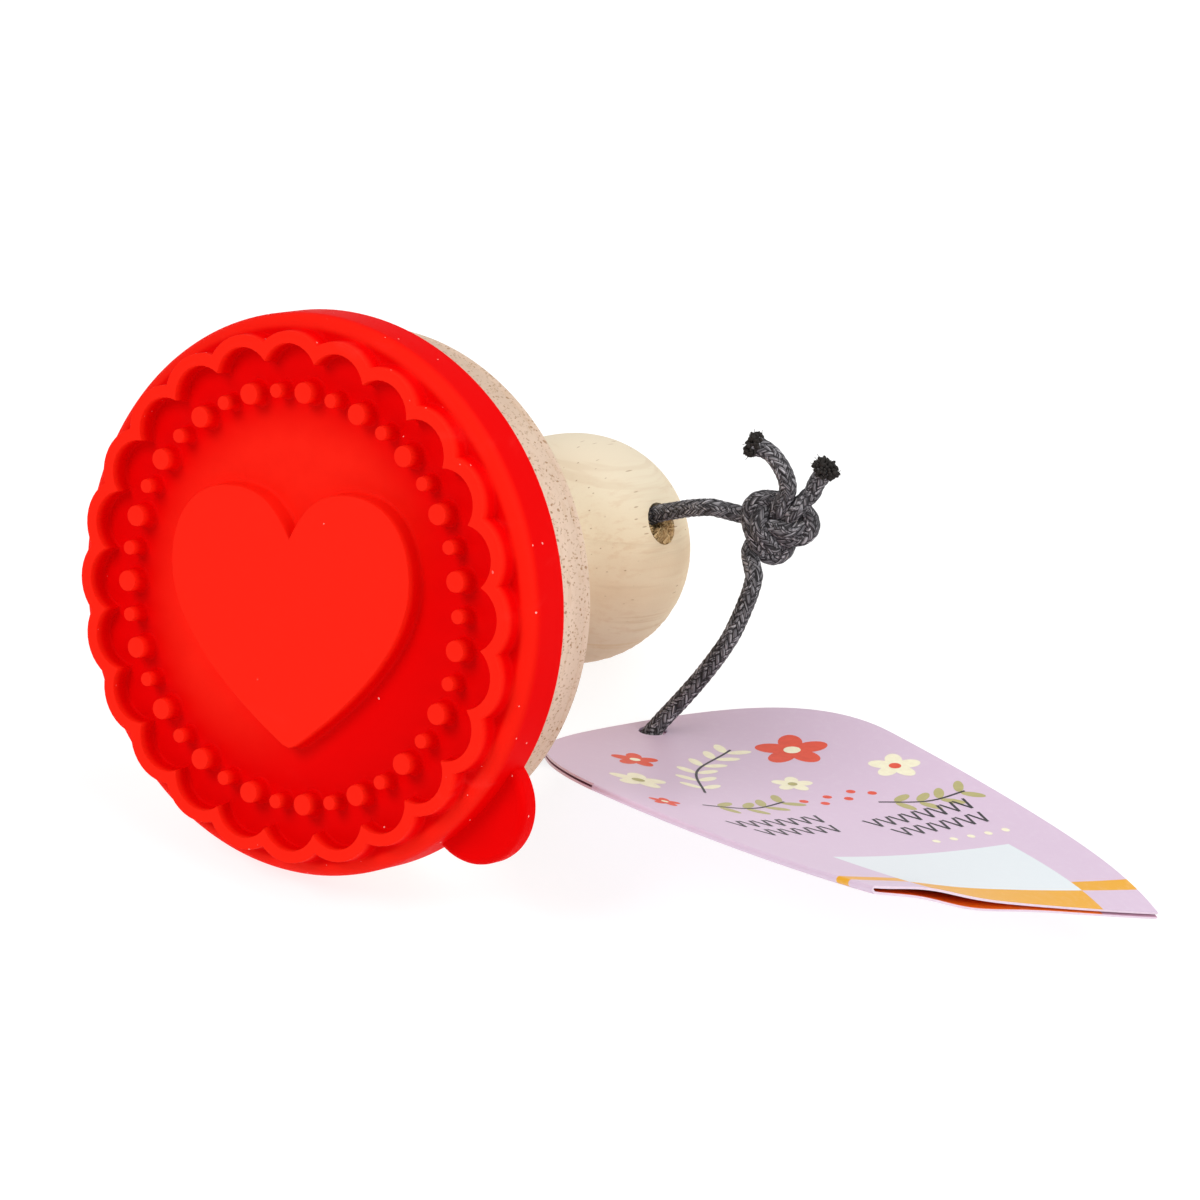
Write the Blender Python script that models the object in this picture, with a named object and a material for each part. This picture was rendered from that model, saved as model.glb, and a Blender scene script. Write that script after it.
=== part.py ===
"""Cookie stamp: turned handle and disc of beech, moulded silicone stamp cap, and folded swing tag on a cord.

Run with: blender --background --python part.py
The stamp lies at rest on the rim of its disc and on its ball, with the tag on the ground beside it.
"""

import math

import bmesh
import bpy
import numpy as np
from mathutils import Euler, Matrix, Vector

MM = 0.001

# Fits
FIT_GAP = 0.3 * MM
TURNING_STEPS = 48
SMOOTH_ANGLE = math.radians(35)

# Disc, turned from beech to fit the cap
DISC_THICKNESS = 14.0 * MM
DISC_CHAMFER = 0.6 * MM

# Handle, turned from beech in one piece: foot, waist and ball
BALL_DIAMETER = 30.2 * MM
BALL_LENGTH = 31.8 * MM
BALL_FULLNESS = 2.3
BALL_SHARES = (0.0, 0.1, 0.22, 0.34, 0.46, 0.58, 0.7, 0.8, 0.9, 1.0, 1.1, 1.2, 1.32, 1.42)
BALL_CENTRE = 42.0 * MM
WAIST_DIAMETER = 17.0 * MM
WAIST_PLACE = 12.5 * MM
FOOT_DIAMETER = 26.0 * MM
FOOT_THICKNESS = 2.5 * MM
NECK_STEPS = 5
BORE_DIAMETER = 5.6 * MM
BORE_PLACE = 41.3 * MM
BORE_ANGLE = math.radians(11.5)
BORE_STEPS = 24

# Dowel glued between disc and handle
DOWEL_DIAMETER = 8.0 * MM
DOWEL_IN_DISC = 9.0 * MM
DOWEL_IN_HANDLE = 12.0 * MM
DOWEL_CHAMFER = 0.8 * MM
DOWEL_STEPS = 24

# Silicone cap
PAD_DIAMETER = 70.0 * MM
PAD_WALL = 2.45 * MM
PAD_GRIP = 4.5 * MM
PAD_FLOOR = 2.2 * MM
PAD_SHOULDER = 1.8 * MM
PAD_LIP = 0.6 * MM
PAD_STEPS = 72
PAD_SHOULDER_STEPS = 4
RELIEF_HEIGHT = 2.5 * MM
RELIEF_ROOT = 0.5 * MM

# Heart of the relief: half its outline in three curves, upright about its own centre line
HEART_CLEFT = 7.3 * MM
HEART_TIP = -18.9 * MM
HEART_TOP = (9.1 * MM, 13.4 * MM)
HEART_SIDE = (18.35 * MM, 3.2 * MM)
HEART_CLEFT_PULL = (2.3 * MM, 4.3 * MM)
HEART_LOBE_PULL = (4.5 * MM, 5.5 * MM)
HEART_SIDE_PULL = (6.3 * MM, 8.3 * MM)
HEART_TIP_PULL = (8.7 * MM, 5.6 * MM)
HEART_TURN = math.radians(-5.8)
HEART_CURVE_STEPS = 8

# One ring of dots inside the scallops' points, large and small by turns
DOT_INSET = 3.7 * MM
DOT_COUNT = 19
DOT_DRAFT = 0.17 * MM
LARGE_DOT_DIAMETER = 2.6 * MM
LARGE_DOT_ANGLE = math.radians(98.4)
LARGE_DOT_STEPS = 16
SMALL_DOT_DIAMETER = 1.75 * MM
SMALL_DOT_ANGLE = math.radians(88.9)
SMALL_DOT_STEPS = 12

# Scalloped ring: its margin to the cap's edge, its width from crest to crest, and how deep its notches are
SCALLOP_COUNT = 24
SCALLOP_ANGLE = math.radians(91.7)
SCALLOP_MARGIN = 2.0 * MM
SCALLOP_BAND = 1.5 * MM
SCALLOP_OUTER_DEPTH = 1.4 * MM
SCALLOP_INNER_DEPTH = 2.2 * MM
SCALLOP_INNER_STEPS = 7
SCALLOP_OUTER_STEPS = 5

# Pull tab at the cap's back edge
TAB_ANGLE = math.radians(-51.5)
TAB_RADIUS = 7.6 * MM
TAB_REACH = 6.1 * MM
TAB_THICKNESS = 3.0 * MM
TAB_ROUNDING = 0.9 * MM
TAB_STEPS = 20

# How the stamp is turned about its own axis where it lies
STAMP_TURN = math.radians(20.6)

# Cord, and the knot that joins its ends. Its places are measured from the ground under the ball's centre
CORD_DIAMETER = 2.35 * MM
CORD_GAP = 0.3 * MM
CORD_STEP = 2.4 * MM
KNOT_STEP = 1.0 * MM
KNOT_SPACING = 1.95 * MM
KNOT_CLEARANCE = 0.4 * MM
KNOT_LEAST_RADIUS = 0.6 * MM
KNOT_CENTRE = (27.7 * MM, 6.2 * MM, 27.1 * MM)
KNOT_FACING = (math.radians(82.0), 0.0, math.radians(37.7))
KNOT_POINTS = 64
KNOT_ROUNDS = 1500
KNOT_SETTLING = 300
KNOT_PULL = 0.4
KNOT_LAST_PULL = 0.02
KNOT_PUSH = 1.2
KNOT_SPREADS = 3
KNOT_EVEN_EVERY = 20
KNOT_SIDE_SHARE = 0.62
KNOT_OWN_REACH = 1.7
CURVE_PARTS = 13

# Swing tag: one card folded along its left edge, with a half-round top
TAG_WIDTH = 50.0 * MM
TAG_SIDE = 50.0 * MM
CARD_THICKNESS = 0.3 * MM
LEAF_GAP = 0.3 * MM
LEAF_MOUTH = 0.8 * MM
HOLE_DIAMETER = 4.8 * MM
HOLE_FROM_FOLD = 28.3 * MM
HOLE_FROM_TOP = 3.9 * MM
HOLE_STEPS = 20
TAG_CENTRE = (67.0 * MM, -25.2 * MM, 12.6 * MM)
TAG_FACING = (math.radians(-10.9), math.radians(17.8), math.radians(75.7))
TAG_TWIST = -2.2 * MM
TAG_BOW = 1.65 * MM
TAG_TWIST_ACROSS = -1.3 * MM
TAG_TWIST_ALONG = -0.65 * MM
TAG_DROOP = 2.2 * MM
TAG_CURL = 0.7 * MM
LEAF_COLUMNS = 12
LEAF_SIDE_ROWS = 9
LEAF_ARCH_ROWS = 9

# Colours
BEECH = (0.86, 0.72, 0.50)
SILICONE = (0.90, 0.02, 0.01)
CHARCOAL = (0.09, 0.09, 0.10)
LILAC = (0.74, 0.58, 0.74)
ORANGE = (0.75, 0.10, 0.01)

# Places that follow from the sizes above, in the stamp's own frame: +Z out of the face, 0 at the disc's rear
PAD_RADIUS = PAD_DIAMETER / 2
DISC_RADIUS = PAD_RADIUS - PAD_WALL - FIT_GAP
SCALLOP_OUTER_CREST = PAD_RADIUS - SCALLOP_MARGIN
SCALLOP_OUTER_NOTCH = SCALLOP_OUTER_CREST - SCALLOP_OUTER_DEPTH
SCALLOP_INNER_CREST = SCALLOP_OUTER_CREST - SCALLOP_BAND
SCALLOP_INNER_CUSP = SCALLOP_INNER_CREST - SCALLOP_INNER_DEPTH
DOT_RING_RADIUS = SCALLOP_INNER_CUSP - DOT_INSET
PAD_BACK = DISC_THICKNESS - PAD_GRIP
PAD_CEILING = DISC_THICKNESS + FIT_GAP
RELIEF_FLOOR = PAD_CEILING + PAD_FLOOR
FACE = RELIEF_FLOOR + RELIEF_HEIGHT
DOWN = -math.pi / 2 - STAMP_TURN
CORD_RADIUS = CORD_DIAMETER / 2

# The middle line of the doubled cord before the knot is drawn tight, in the knot's own plane
LOOSE_KNOT = [(-11.0, -5.5, -0.5), (-7.5, -3.2, -1.6), (-4.0, -1.5, -2.2), (-1.0, -1.6, 0.0), (2.5, -1.0, 2.4),
              (6.0, -0.8, 1.6), (8.2, 1.0, 0.0), (6.0, 3.8, -1.6), (1.5, 4.2, -2.4), (-3.0, 5.6, -1.2),
              (-6.6, 4.0, 0.6), (-6.0, 0.6, 2.2), (-4.0, -1.8, 2.4), (-2.8, -5.0, 1.2), (0.0, -7.0, -0.6),
              (2.6, -4.8, -2.0), (2.8, -1.0, -2.2), (2.2, 2.0, 0.4), (2.0, 4.6, 2.2), (2.4, 8.0, 1.0),
              (2.6, 11.0, 0.0)]

# Where the two ends enter the knot and leave it again, and their free routes, in millimetres
FRONT_IN = (20.0, 3.4, 27.9)
FRONT_OUT = (28.9, 7.2, 31.8)
REAR_IN = (28.0, 1.6, 21.6)
REAR_OUT = (31.2, 9.4, 31.5)
FRONT_STRAND = [(14.6, 2.7, 25.7), (17.0, 2.9, 26.9)]
FRONT_TAIL = [(28.7, 7.3, 33.3), (27.8, 7.2, 35.1), (26.2, 6.9, 36.8), (24.1, 6.1, 37.7)]
REAR_TAIL = [(31.5, 9.8, 32.8), (32.0, 10.3, 34.0), (32.4, 10.6, 35.1)]
REAR_STRAND = [(28.6, -2.1, 17.3), (28.6, -1.1, 18.5), (28.5, 0.2, 20.1)]
TAG_STRAND = [(28.6, -4.0, 15.4), (28.2, -5.7, 13.6), (27.0, -8.2, 10.5), (25.3, -10.5, 7.2),
              (24.0, -12.2, 4.9), (23.2, -13.3, 3.3), (22.5, -14.5, 2.0), (21.6, -16.2, 1.3),
              (20.2, -18.6, 1.3), (17.6, -21.1, 1.3), (13.6, -22.6, 1.3), (7.5, -23.6, 1.3),
              (0.0, -23.4, 1.3), (-8.0, -20.8, 1.3), (-15.5, -16.0, 1.3), (-20.4, -10.0, 1.8),
              (-21.2, -6.4, 3.0), (-19.4, -4.6, 4.6)]


def material(name, colour, roughness):
    """A Principled material of one colour."""
    made = bpy.data.materials.new(name)
    made.use_nodes = True
    shader = made.node_tree.nodes["Principled BSDF"]
    shader.inputs["Base Color"].default_value = (*colour, 1.0)
    shader.inputs["Roughness"].default_value = roughness
    made.diffuse_color = (*colour, 1.0)
    return made


def new_object(name, data, parent, finish=None):
    """Links an object under its parent."""
    made = bpy.data.objects.new(name, data)
    made.parent = parent
    if finish:
        data.materials.append(finish)
    bpy.context.collection.objects.link(made)
    return made


def mesh_from(name, work, closed=True):
    """Turns a bmesh into a mesh. The faces of a closed one are made to point outwards."""
    bmesh.ops.remove_doubles(work, verts=work.verts, dist=1e-6)
    if closed:
        bmesh.ops.recalc_face_normals(work, faces=work.faces)
    mesh = bpy.data.meshes.new(name)
    work.to_mesh(mesh)
    work.free()
    mesh.shade_smooth()
    mesh.set_sharp_from_angle(angle=SMOOTH_ANGLE)
    return mesh


def turned(name, profile, steps, first_angle=0.0):
    """Turns a profile of (radius, height) points, which starts and ends on the axis, into a mesh."""
    work = bmesh.new()
    start = Matrix.Rotation(first_angle, 3, "Z")
    points = [work.verts.new(start @ Vector((radius, 0.0, height))) for radius, height in profile]
    edges = [work.edges.new(pair) for pair in zip(points, points[1:])]
    bmesh.ops.spin(work, geom=points + edges, cent=(0, 0, 0), axis=(0, 0, 1), angle=math.tau, steps=steps,
                   use_merge=True)
    return mesh_from(name, work)


def prism(work, outline, low, high, draft=0.0):
    """Extrudes a closed outline between its root and its top. Its sides lean in by the draft."""
    top = [work.verts.new((x, y, high)) for x, y in outline]
    face = work.faces.new(top)
    root = bmesh.ops.extrude_face_region(work, geom=[face])["geom"]
    moved = [item for item in root if isinstance(item, bmesh.types.BMVert)]
    centre = sum((vert.co for vert in moved), Vector()) / len(moved)
    for vert in moved:
        out = Vector((vert.co.x - centre.x, vert.co.y - centre.y, 0.0))
        vert.co += out.normalized() * draft
        vert.co.z = low


def arc_through(start, middle, end, steps):
    """Points on the circle through three points, from the start up to but without the end."""
    a, b, c = (np.array(point) for point in (start, middle, end))
    rows = 2 * np.array([b - a, c - a])
    centre = np.linalg.solve(rows, np.array([b @ b - a @ a, c @ c - a @ a]))
    radius = np.linalg.norm(a - centre)
    first = math.atan2(*(a - centre)[::-1])
    half = (math.atan2(*(b - centre)[::-1]) - first + math.pi) % math.tau - math.pi
    angles = first + 2 * half * np.arange(steps) / steps
    return [(centre[0] + radius * math.cos(angle), centre[1] + radius * math.sin(angle)) for angle in angles]


def polar(radius, angle):
    """A point at a radius and an angle."""
    return radius * math.cos(angle), radius * math.sin(angle)


def scallop_outline(low_radius, crest_radius, steps):
    """A ring of arcs that meet in points: all round, one arc for each scallop."""
    pitch = math.tau / SCALLOP_COUNT
    outline = []
    for count in range(SCALLOP_COUNT):
        angle = SCALLOP_ANGLE + count * pitch
        outline += arc_through(polar(low_radius, angle), polar(crest_radius, angle + pitch / 2),
                               polar(low_radius, angle + pitch), steps)
    return outline


def cubic(a, b, c, d, steps):
    """Points on a cubic curve, from its start up to but without its end."""
    points = []
    for count in range(steps):
        t = count / steps
        weights = ((1 - t) ** 3, 3 * (1 - t) ** 2 * t, 3 * (1 - t) * t * t, t ** 3)
        points.append(tuple(sum(w * p[axis] for w, p in zip(weights, (a, b, c, d))) for axis in (0, 1)))
    return points


def heart_outline():
    """The heart's outline: three curves down one side, mirrored for the other, then turned."""
    cleft = (0.0, HEART_CLEFT)
    tip = (0.0, HEART_TIP)
    half = cubic(cleft, (HEART_CLEFT_PULL[0], HEART_CLEFT + HEART_CLEFT_PULL[1]),
                 (HEART_TOP[0] - HEART_LOBE_PULL[0], HEART_TOP[1]), HEART_TOP, HEART_CURVE_STEPS)
    half += cubic(HEART_TOP, (HEART_TOP[0] + HEART_LOBE_PULL[1], HEART_TOP[1]),
                  (HEART_SIDE[0], HEART_SIDE[1] + HEART_SIDE_PULL[0]), HEART_SIDE, HEART_CURVE_STEPS)
    half += cubic(HEART_SIDE, (HEART_SIDE[0], HEART_SIDE[1] - HEART_SIDE_PULL[1]),
                  (HEART_TIP_PULL[0], HEART_TIP + HEART_TIP_PULL[1]), tip, HEART_CURVE_STEPS)
    other = [(-x, y) for x, y in half[1:]][::-1]
    turn = Matrix.Rotation(HEART_TURN, 2)
    return [tuple(turn @ Vector(point)) for point in half + [tip] + other][::-1]


def ring_prism(work, inner, outer, low, high):
    """A closed band between two outlines, between two heights."""
    loops = []
    for outline in (outer, inner):
        verts = [work.verts.new((x, y, high)) for x, y in outline]
        loops.append([work.edges.new(pair) for pair in zip(verts, verts[1:] + verts[:1])])
    filled = bmesh.ops.triangle_fill(work, use_beauty=True, use_dissolve=False, edges=loops[0] + loops[1])
    faces = [item for item in filled["geom"] if isinstance(item, bmesh.types.BMFace)]
    root = bmesh.ops.extrude_face_region(work, geom=faces)["geom"]
    for item in root:
        if isinstance(item, bmesh.types.BMVert):
            item.co.z = low


def relief_mesh():
    """The raised heart, dots and scalloped ring, with their roots in the cap."""
    work = bmesh.new()
    root = RELIEF_FLOOR - RELIEF_ROOT
    prism(work, heart_outline(), root, FACE)
    large = (LARGE_DOT_DIAMETER, LARGE_DOT_ANGLE, LARGE_DOT_STEPS)
    small = (SMALL_DOT_DIAMETER, SMALL_DOT_ANGLE, SMALL_DOT_STEPS)
    for diameter, first, steps in (large, small):
        for count in range(DOT_COUNT):
            x, y = polar(DOT_RING_RADIUS, first - count * math.tau / DOT_COUNT)
            circle = [polar(diameter / 2, step * math.tau / steps) for step in range(steps)]
            prism(work, [(x + dx, y + dy) for dx, dy in circle], root, FACE, DOT_DRAFT)
    inner = scallop_outline(SCALLOP_INNER_CUSP, SCALLOP_INNER_CREST, SCALLOP_INNER_STEPS)
    outer = scallop_outline(SCALLOP_OUTER_NOTCH, SCALLOP_OUTER_CREST, SCALLOP_OUTER_STEPS)
    ring_prism(work, inner, outer, root, FACE)
    return mesh_from("relief", work)


def tab_mesh():
    """The pull tab: a round tongue whose root lies inside the cap's wall, with a rounded rim."""
    work = bmesh.new()
    centre = PAD_RADIUS + TAB_REACH - TAB_RADIUS
    wall = (PAD_RADIUS + DISC_RADIUS + FIT_GAP) / 2
    cosine = (wall * wall - centre * centre - TAB_RADIUS * TAB_RADIUS) / (2 * centre * TAB_RADIUS)
    reach = math.acos(max(-1.0, min(1.0, cosine)))
    rim = []
    for step in range(TAB_STEPS + 1):
        x, y = polar(TAB_RADIUS, -reach + 2 * reach * step / TAB_STEPS)
        rim.append((centre + x, y))
    spread = math.atan2(rim[-1][1], rim[-1][0])
    rim += [polar(wall, spread * share) for share in (0.5, 0.0, -0.5)]
    prism(work, rim, PAD_BACK, PAD_BACK + TAB_THICKNESS)
    rounded = []
    for edge in work.edges:
        flat = abs(edge.verts[0].co.z - edge.verts[1].co.z) < 1e-7
        out = min(math.hypot(vert.co.x, vert.co.y) for vert in edge.verts) > PAD_RADIUS - TAB_ROUNDING
        if flat and out:
            rounded.append(edge)
    bmesh.ops.bevel(work, geom=rounded, offset=TAB_ROUNDING, segments=2, profile=0.5, affect="EDGES",
                    material=-1)
    bmesh.ops.rotate(work, verts=work.verts, cent=(0, 0, 0), matrix=Matrix.Rotation(TAB_ANGLE, 3, "Z"))
    return mesh_from("tab", work)


def boolean(target, cutter, operation):
    """Adds a Boolean modifier and hides the piece that it works with."""
    cutter.hide_render = True
    cutter.display_type = "WIRE"
    modifier = target.modifiers.new(cutter.name, "BOOLEAN")
    modifier.solver = "EXACT"
    modifier.operation = operation
    modifier.object = cutter


def build_disc(parent, finish):
    """The disc, with a blind hole for the dowel in its rear face."""
    hole = DOWEL_DIAMETER / 2 + FIT_GAP
    depth = DOWEL_IN_DISC + FIT_GAP
    profile = [(0.0, DISC_THICKNESS), (DISC_RADIUS - DISC_CHAMFER, DISC_THICKNESS),
               (DISC_RADIUS, DISC_THICKNESS - DISC_CHAMFER), (DISC_RADIUS, DISC_CHAMFER),
               (DISC_RADIUS - DISC_CHAMFER, 0.0), (hole, 0.0), (hole, depth), (0.0, depth)]
    mesh = turned("base_disc", profile, TURNING_STEPS, DOWN + math.pi / TURNING_STEPS)
    return new_object("base_disc", mesh, parent, finish)


def ball_point(share):
    """A point on the ball's profile, from its end at 0 through its widest at a quarter turn."""
    angle = share * math.pi / 2
    power = 2 / BALL_FULLNESS
    radius = BALL_DIAMETER / 2 * abs(math.sin(angle)) ** power
    height = BALL_LENGTH / 2 * math.copysign(abs(math.cos(angle)) ** power, math.cos(angle))
    return radius, -BALL_CENTRE - height


def handle_profile():
    """The handle's outer profile, from the ball's end to the rim of its foot."""
    profile = [ball_point(share) for share in BALL_SHARES]
    seat = -FIT_GAP
    waist = (WAIST_DIAMETER / 2, -WAIST_PLACE)
    rim = (FOOT_DIAMETER / 2, seat - FOOT_THICKNESS)
    ball = profile[-1]
    before = profile[-2]
    slope = (ball[0] - before[0]) / (ball[1] - before[1])
    third = (waist[1] - ball[1]) / 3
    leaving = (ball[0] + slope * third, ball[1] + third)
    profile += cubic(ball, leaving, (waist[0], waist[1] - third), waist, NECK_STEPS)[1:]
    rise = rim[1] - waist[1]
    profile += cubic(waist, (waist[0], waist[1] + rise / 2), (rim[0] - rise / 3, rim[1]), rim, NECK_STEPS)
    profile += [rim, (rim[0], seat - DISC_CHAMFER), (rim[0] - DISC_CHAMFER, seat)]
    return profile


def build_handle(parent, finish):
    """The handle, with its blind hole for the dowel and the cord's bore through the ball."""
    hole = DOWEL_DIAMETER / 2 + FIT_GAP
    depth = -DOWEL_IN_HANDLE - FIT_GAP
    profile = handle_profile() + [(hole, -FIT_GAP), (hole, depth), (0.0, depth)]
    mesh = turned("handle", profile, TURNING_STEPS, DOWN + math.pi / TURNING_STEPS)
    handle = new_object("handle", mesh, parent, finish)
    work = bmesh.new()
    bore = BORE_DIAMETER / 2
    bmesh.ops.create_cone(work, cap_ends=True, segments=BORE_STEPS, radius1=bore, radius2=bore,
                          depth=BALL_DIAMETER * 1.5)
    turn = Euler((0, math.pi / 2, BORE_ANGLE)).to_matrix()
    bmesh.ops.rotate(work, verts=work.verts, cent=(0, 0, 0), matrix=turn)
    bmesh.ops.translate(work, verts=work.verts, vec=(0, 0, -BORE_PLACE))
    boolean(handle, new_object("bore_cutter", mesh_from("bore_cutter", work), parent), "DIFFERENCE")
    return handle


def build_dowel(parent, finish):
    """The dowel that joins handle and disc."""
    radius = DOWEL_DIAMETER / 2
    narrow = radius - DOWEL_CHAMFER
    profile = [(0.0, DOWEL_IN_DISC), (narrow, DOWEL_IN_DISC), (radius, DOWEL_IN_DISC - DOWEL_CHAMFER),
               (radius, DOWEL_CHAMFER - DOWEL_IN_HANDLE), (narrow, -DOWEL_IN_HANDLE), (0.0, -DOWEL_IN_HANDLE)]
    return new_object("dowel", turned("dowel", profile, DOWEL_STEPS), parent, finish)


def build_pad(parent, finish):
    """The silicone cap: a turned cup over the disc, with the relief and the pull tab joined to it."""
    inside = DISC_RADIUS + FIT_GAP
    centre = (PAD_RADIUS - PAD_SHOULDER, RELIEF_FLOOR - PAD_SHOULDER)
    profile = [(0.0, RELIEF_FLOOR)]
    for step in range(PAD_SHOULDER_STEPS + 1):
        angle = math.pi / 2 * (1 - step / PAD_SHOULDER_STEPS)
        profile.append((centre[0] + PAD_SHOULDER * math.cos(angle), centre[1] + PAD_SHOULDER * math.sin(angle)))
    profile += [(PAD_RADIUS, PAD_BACK + PAD_LIP), (PAD_RADIUS - PAD_LIP, PAD_BACK), (inside, PAD_BACK),
                (inside, PAD_CEILING), (0.0, PAD_CEILING)]
    pad = new_object("stamp_pad", turned("stamp_pad", profile, PAD_STEPS), parent, finish)
    boolean(pad, new_object("tab", tab_mesh(), parent), "UNION")
    boolean(pad, new_object("relief", relief_mesh(), parent), "UNION")
    return pad


def lowest(profile, lean):
    """How far below the axis's origin a turned profile reaches when its axis leans back by an angle."""
    flat = math.cos(math.pi / TURNING_STEPS)
    return min(height * math.sin(lean) - radius * flat * math.cos(lean) for radius, height in profile)


def resting_lean():
    """The lean at which the disc's rim and the ball touch the ground, and the height of the disc's rear."""
    rim = [(DISC_RADIUS, DISC_CHAMFER)]
    handle = handle_profile()
    low, high = 0.0, math.pi / 3
    for _ in range(60):
        middle = (low + high) / 2
        if lowest(rim, middle) < lowest(handle, middle):
            low = middle
        else:
            high = middle
    return low, -lowest(rim, low)


def smooth_curve(points, step):
    """A smooth curve through points, as a row of points about one step apart."""
    points = [np.array(point, float) for point in points]
    ends = [2 * points[0] - points[1]] + points + [2 * points[-1] - points[-2]]
    fine = []
    for a, b, c, d in zip(ends, ends[1:], ends[2:], ends[3:]):
        pairs = ((a, b), (b, c), (c, d))
        knots = np.cumsum([0.0] + [max(np.linalg.norm(q - p), 1e-9) ** 0.5 for p, q in pairs])
        for t in np.linspace(knots[1], knots[2], CURVE_PARTS)[:-1]:
            spans = ((a, b, knots[0], knots[1]), (b, c, knots[1], knots[2]), (c, d, knots[2], knots[3]))
            first = [(p * (k1 - t) + q * (t - k0)) / (k1 - k0) for p, q, k0, k1 in spans]
            spans = ((first[0], first[1], knots[0], knots[2]), (first[1], first[2], knots[1], knots[3]))
            second = [(p * (k1 - t) + q * (t - k0)) / (k1 - k0) for p, q, k0, k1 in spans]
            fine.append((second[0] * (knots[2] - t) + second[1] * (t - knots[1])) / (knots[2] - knots[1]))
    fine = np.array(fine + [points[-1]])
    return evenly(fine, max(2, 1 + round(length_of(fine) / step)))


def length_of(points):
    """The length of a row of points."""
    return float(np.linalg.norm(np.diff(points, axis=0), axis=1).sum())


def evenly(points, count):
    """The same line with its points evenly spaced."""
    along = np.concatenate([[0.0], np.cumsum(np.linalg.norm(np.diff(points, axis=0), axis=1))])
    places = np.linspace(0.0, along[-1], count)
    return np.stack([np.interp(places, along, points[:, axis]) for axis in range(3)], 1)


def loose_pair():
    """Two strands side by side along the loose knot, in the place where the knot is drawn tight."""
    line = [np.array(point) * MM for point in LOOSE_KNOT]
    middle = evenly(smooth_curve(line, KNOT_STEP), KNOT_POINTS)
    run = np.gradient(middle, axis=0)
    side = np.stack([-run[:, 1], run[:, 0], 0 * run[:, 0]], 1)
    side /= np.linalg.norm(side, axis=1)[:, None]
    facing = np.array(Euler(KNOT_FACING).to_matrix())
    offset = KNOT_SIDE_SHARE * KNOT_SPACING * side
    return [strand @ facing.T + np.array(KNOT_CENTRE) for strand in (middle + offset, middle - offset)]


def spread(points, pairs, free):
    """Pushes apart every pair of points that lie closer than the knot's spacing."""
    apart = points[:, None] - points[None]
    far = np.sqrt((apart * apart).sum(-1))
    first, second = np.nonzero(pairs & (far < KNOT_SPACING))
    gap = far[first, second][:, None]
    push = 0.5 * (KNOT_SPACING - gap) * apart[first, second] / np.maximum(gap, 1e-9)
    move = np.zeros_like(points)
    count = np.zeros(len(points))
    for index, sign in ((first, 1.0), (second, -1.0)):
        np.add.at(move, index, sign * push)
        np.add.at(count, index, 1.0)
    points[free] += (KNOT_PUSH * move / np.maximum(count, 1.0)[:, None])[free]


def tight_knot():
    """Draws the doubled overhand knot tight: each strand shortens until it lies against the others."""
    strands = np.concatenate(loose_pair())
    halves = (slice(0, KNOT_POINTS), slice(KNOT_POINTS, 2 * KNOT_POINTS))
    ends = [0, KNOT_POINTS - 1, KNOT_POINTS, 2 * KNOT_POINTS - 1]
    goal = np.array([FRONT_IN, FRONT_OUT, REAR_IN, REAR_OUT]) * MM
    start = strands[ends].copy()
    free = np.ones(2 * KNOT_POINTS, bool)
    free[ends] = False
    index = np.arange(2 * KNOT_POINTS)
    same = (index[:, None] < KNOT_POINTS) == (index[None] < KNOT_POINTS)
    along = np.abs(index[:, None] - index[None])
    for count in range(KNOT_ROUNDS + KNOT_SETTLING):
        share = min(1.0, 2 * count / KNOT_ROUNDS)
        strands[ends] = start + (goal - start) * share
        pull = KNOT_PULL if count < KNOT_ROUNDS else KNOT_LAST_PULL
        step = np.zeros(2 * KNOT_POINTS)
        for half in halves:
            line = strands[half]
            line[1:-1] += pull * (0.5 * (line[:-2] + line[2:]) - line[1:-1])
            step[half] = length_of(line) / (KNOT_POINTS - 1)
        pairs = np.triu(~(same & (along * step[:, None] < KNOT_OWN_REACH * KNOT_SPACING)))
        for _ in range(KNOT_SPREADS):
            spread(strands, pairs, free)
        if count % KNOT_EVEN_EVERY == 0:
            for half in halves:
                strands[half] = evenly(strands[half], KNOT_POINTS)
    return strands[halves[0]], strands[halves[1]]


def cord_radii(line, others, start_gap=3.0):
    """A radius for each point: the cord's own, or less where it is squeezed in the knot."""
    step = length_of(line) / (len(line) - 1)
    index = np.arange(len(line))
    own = np.linalg.norm(line[:, None] - line[None], axis=-1)
    own[np.abs(index[:, None] - index[None]) * step < start_gap * KNOT_SPACING / 2] = 1.0
    near = own.min(1)
    for other in others:
        near = np.minimum(near, np.linalg.norm(line[:, None] - other[None], axis=-1).min(1))
    radii = np.clip((near - KNOT_CLEARANCE) / 2, KNOT_LEAST_RADIUS, CORD_RADIUS)
    reach = 2
    return np.array([radii[max(0, k - reach):k + reach + 1].min() for k in index])


def build_cord_piece(name, line, radii, parent, finish):
    """A round cord along a row of points, with flat ends."""
    curve = bpy.data.curves.new(name, "CURVE")
    curve.dimensions = "3D"
    curve.bevel_depth = CORD_RADIUS
    curve.bevel_resolution = 2
    curve.use_fill_caps = True
    spline = curve.splines.new("POLY")
    spline.points.add(len(line) - 1)
    for point, place, radius in zip(spline.points, line, radii):
        point.co = (*place, 1.0)
        point.radius = radius / CORD_RADIUS
    spline.use_smooth = True
    return new_object(name, curve, parent, finish)


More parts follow.
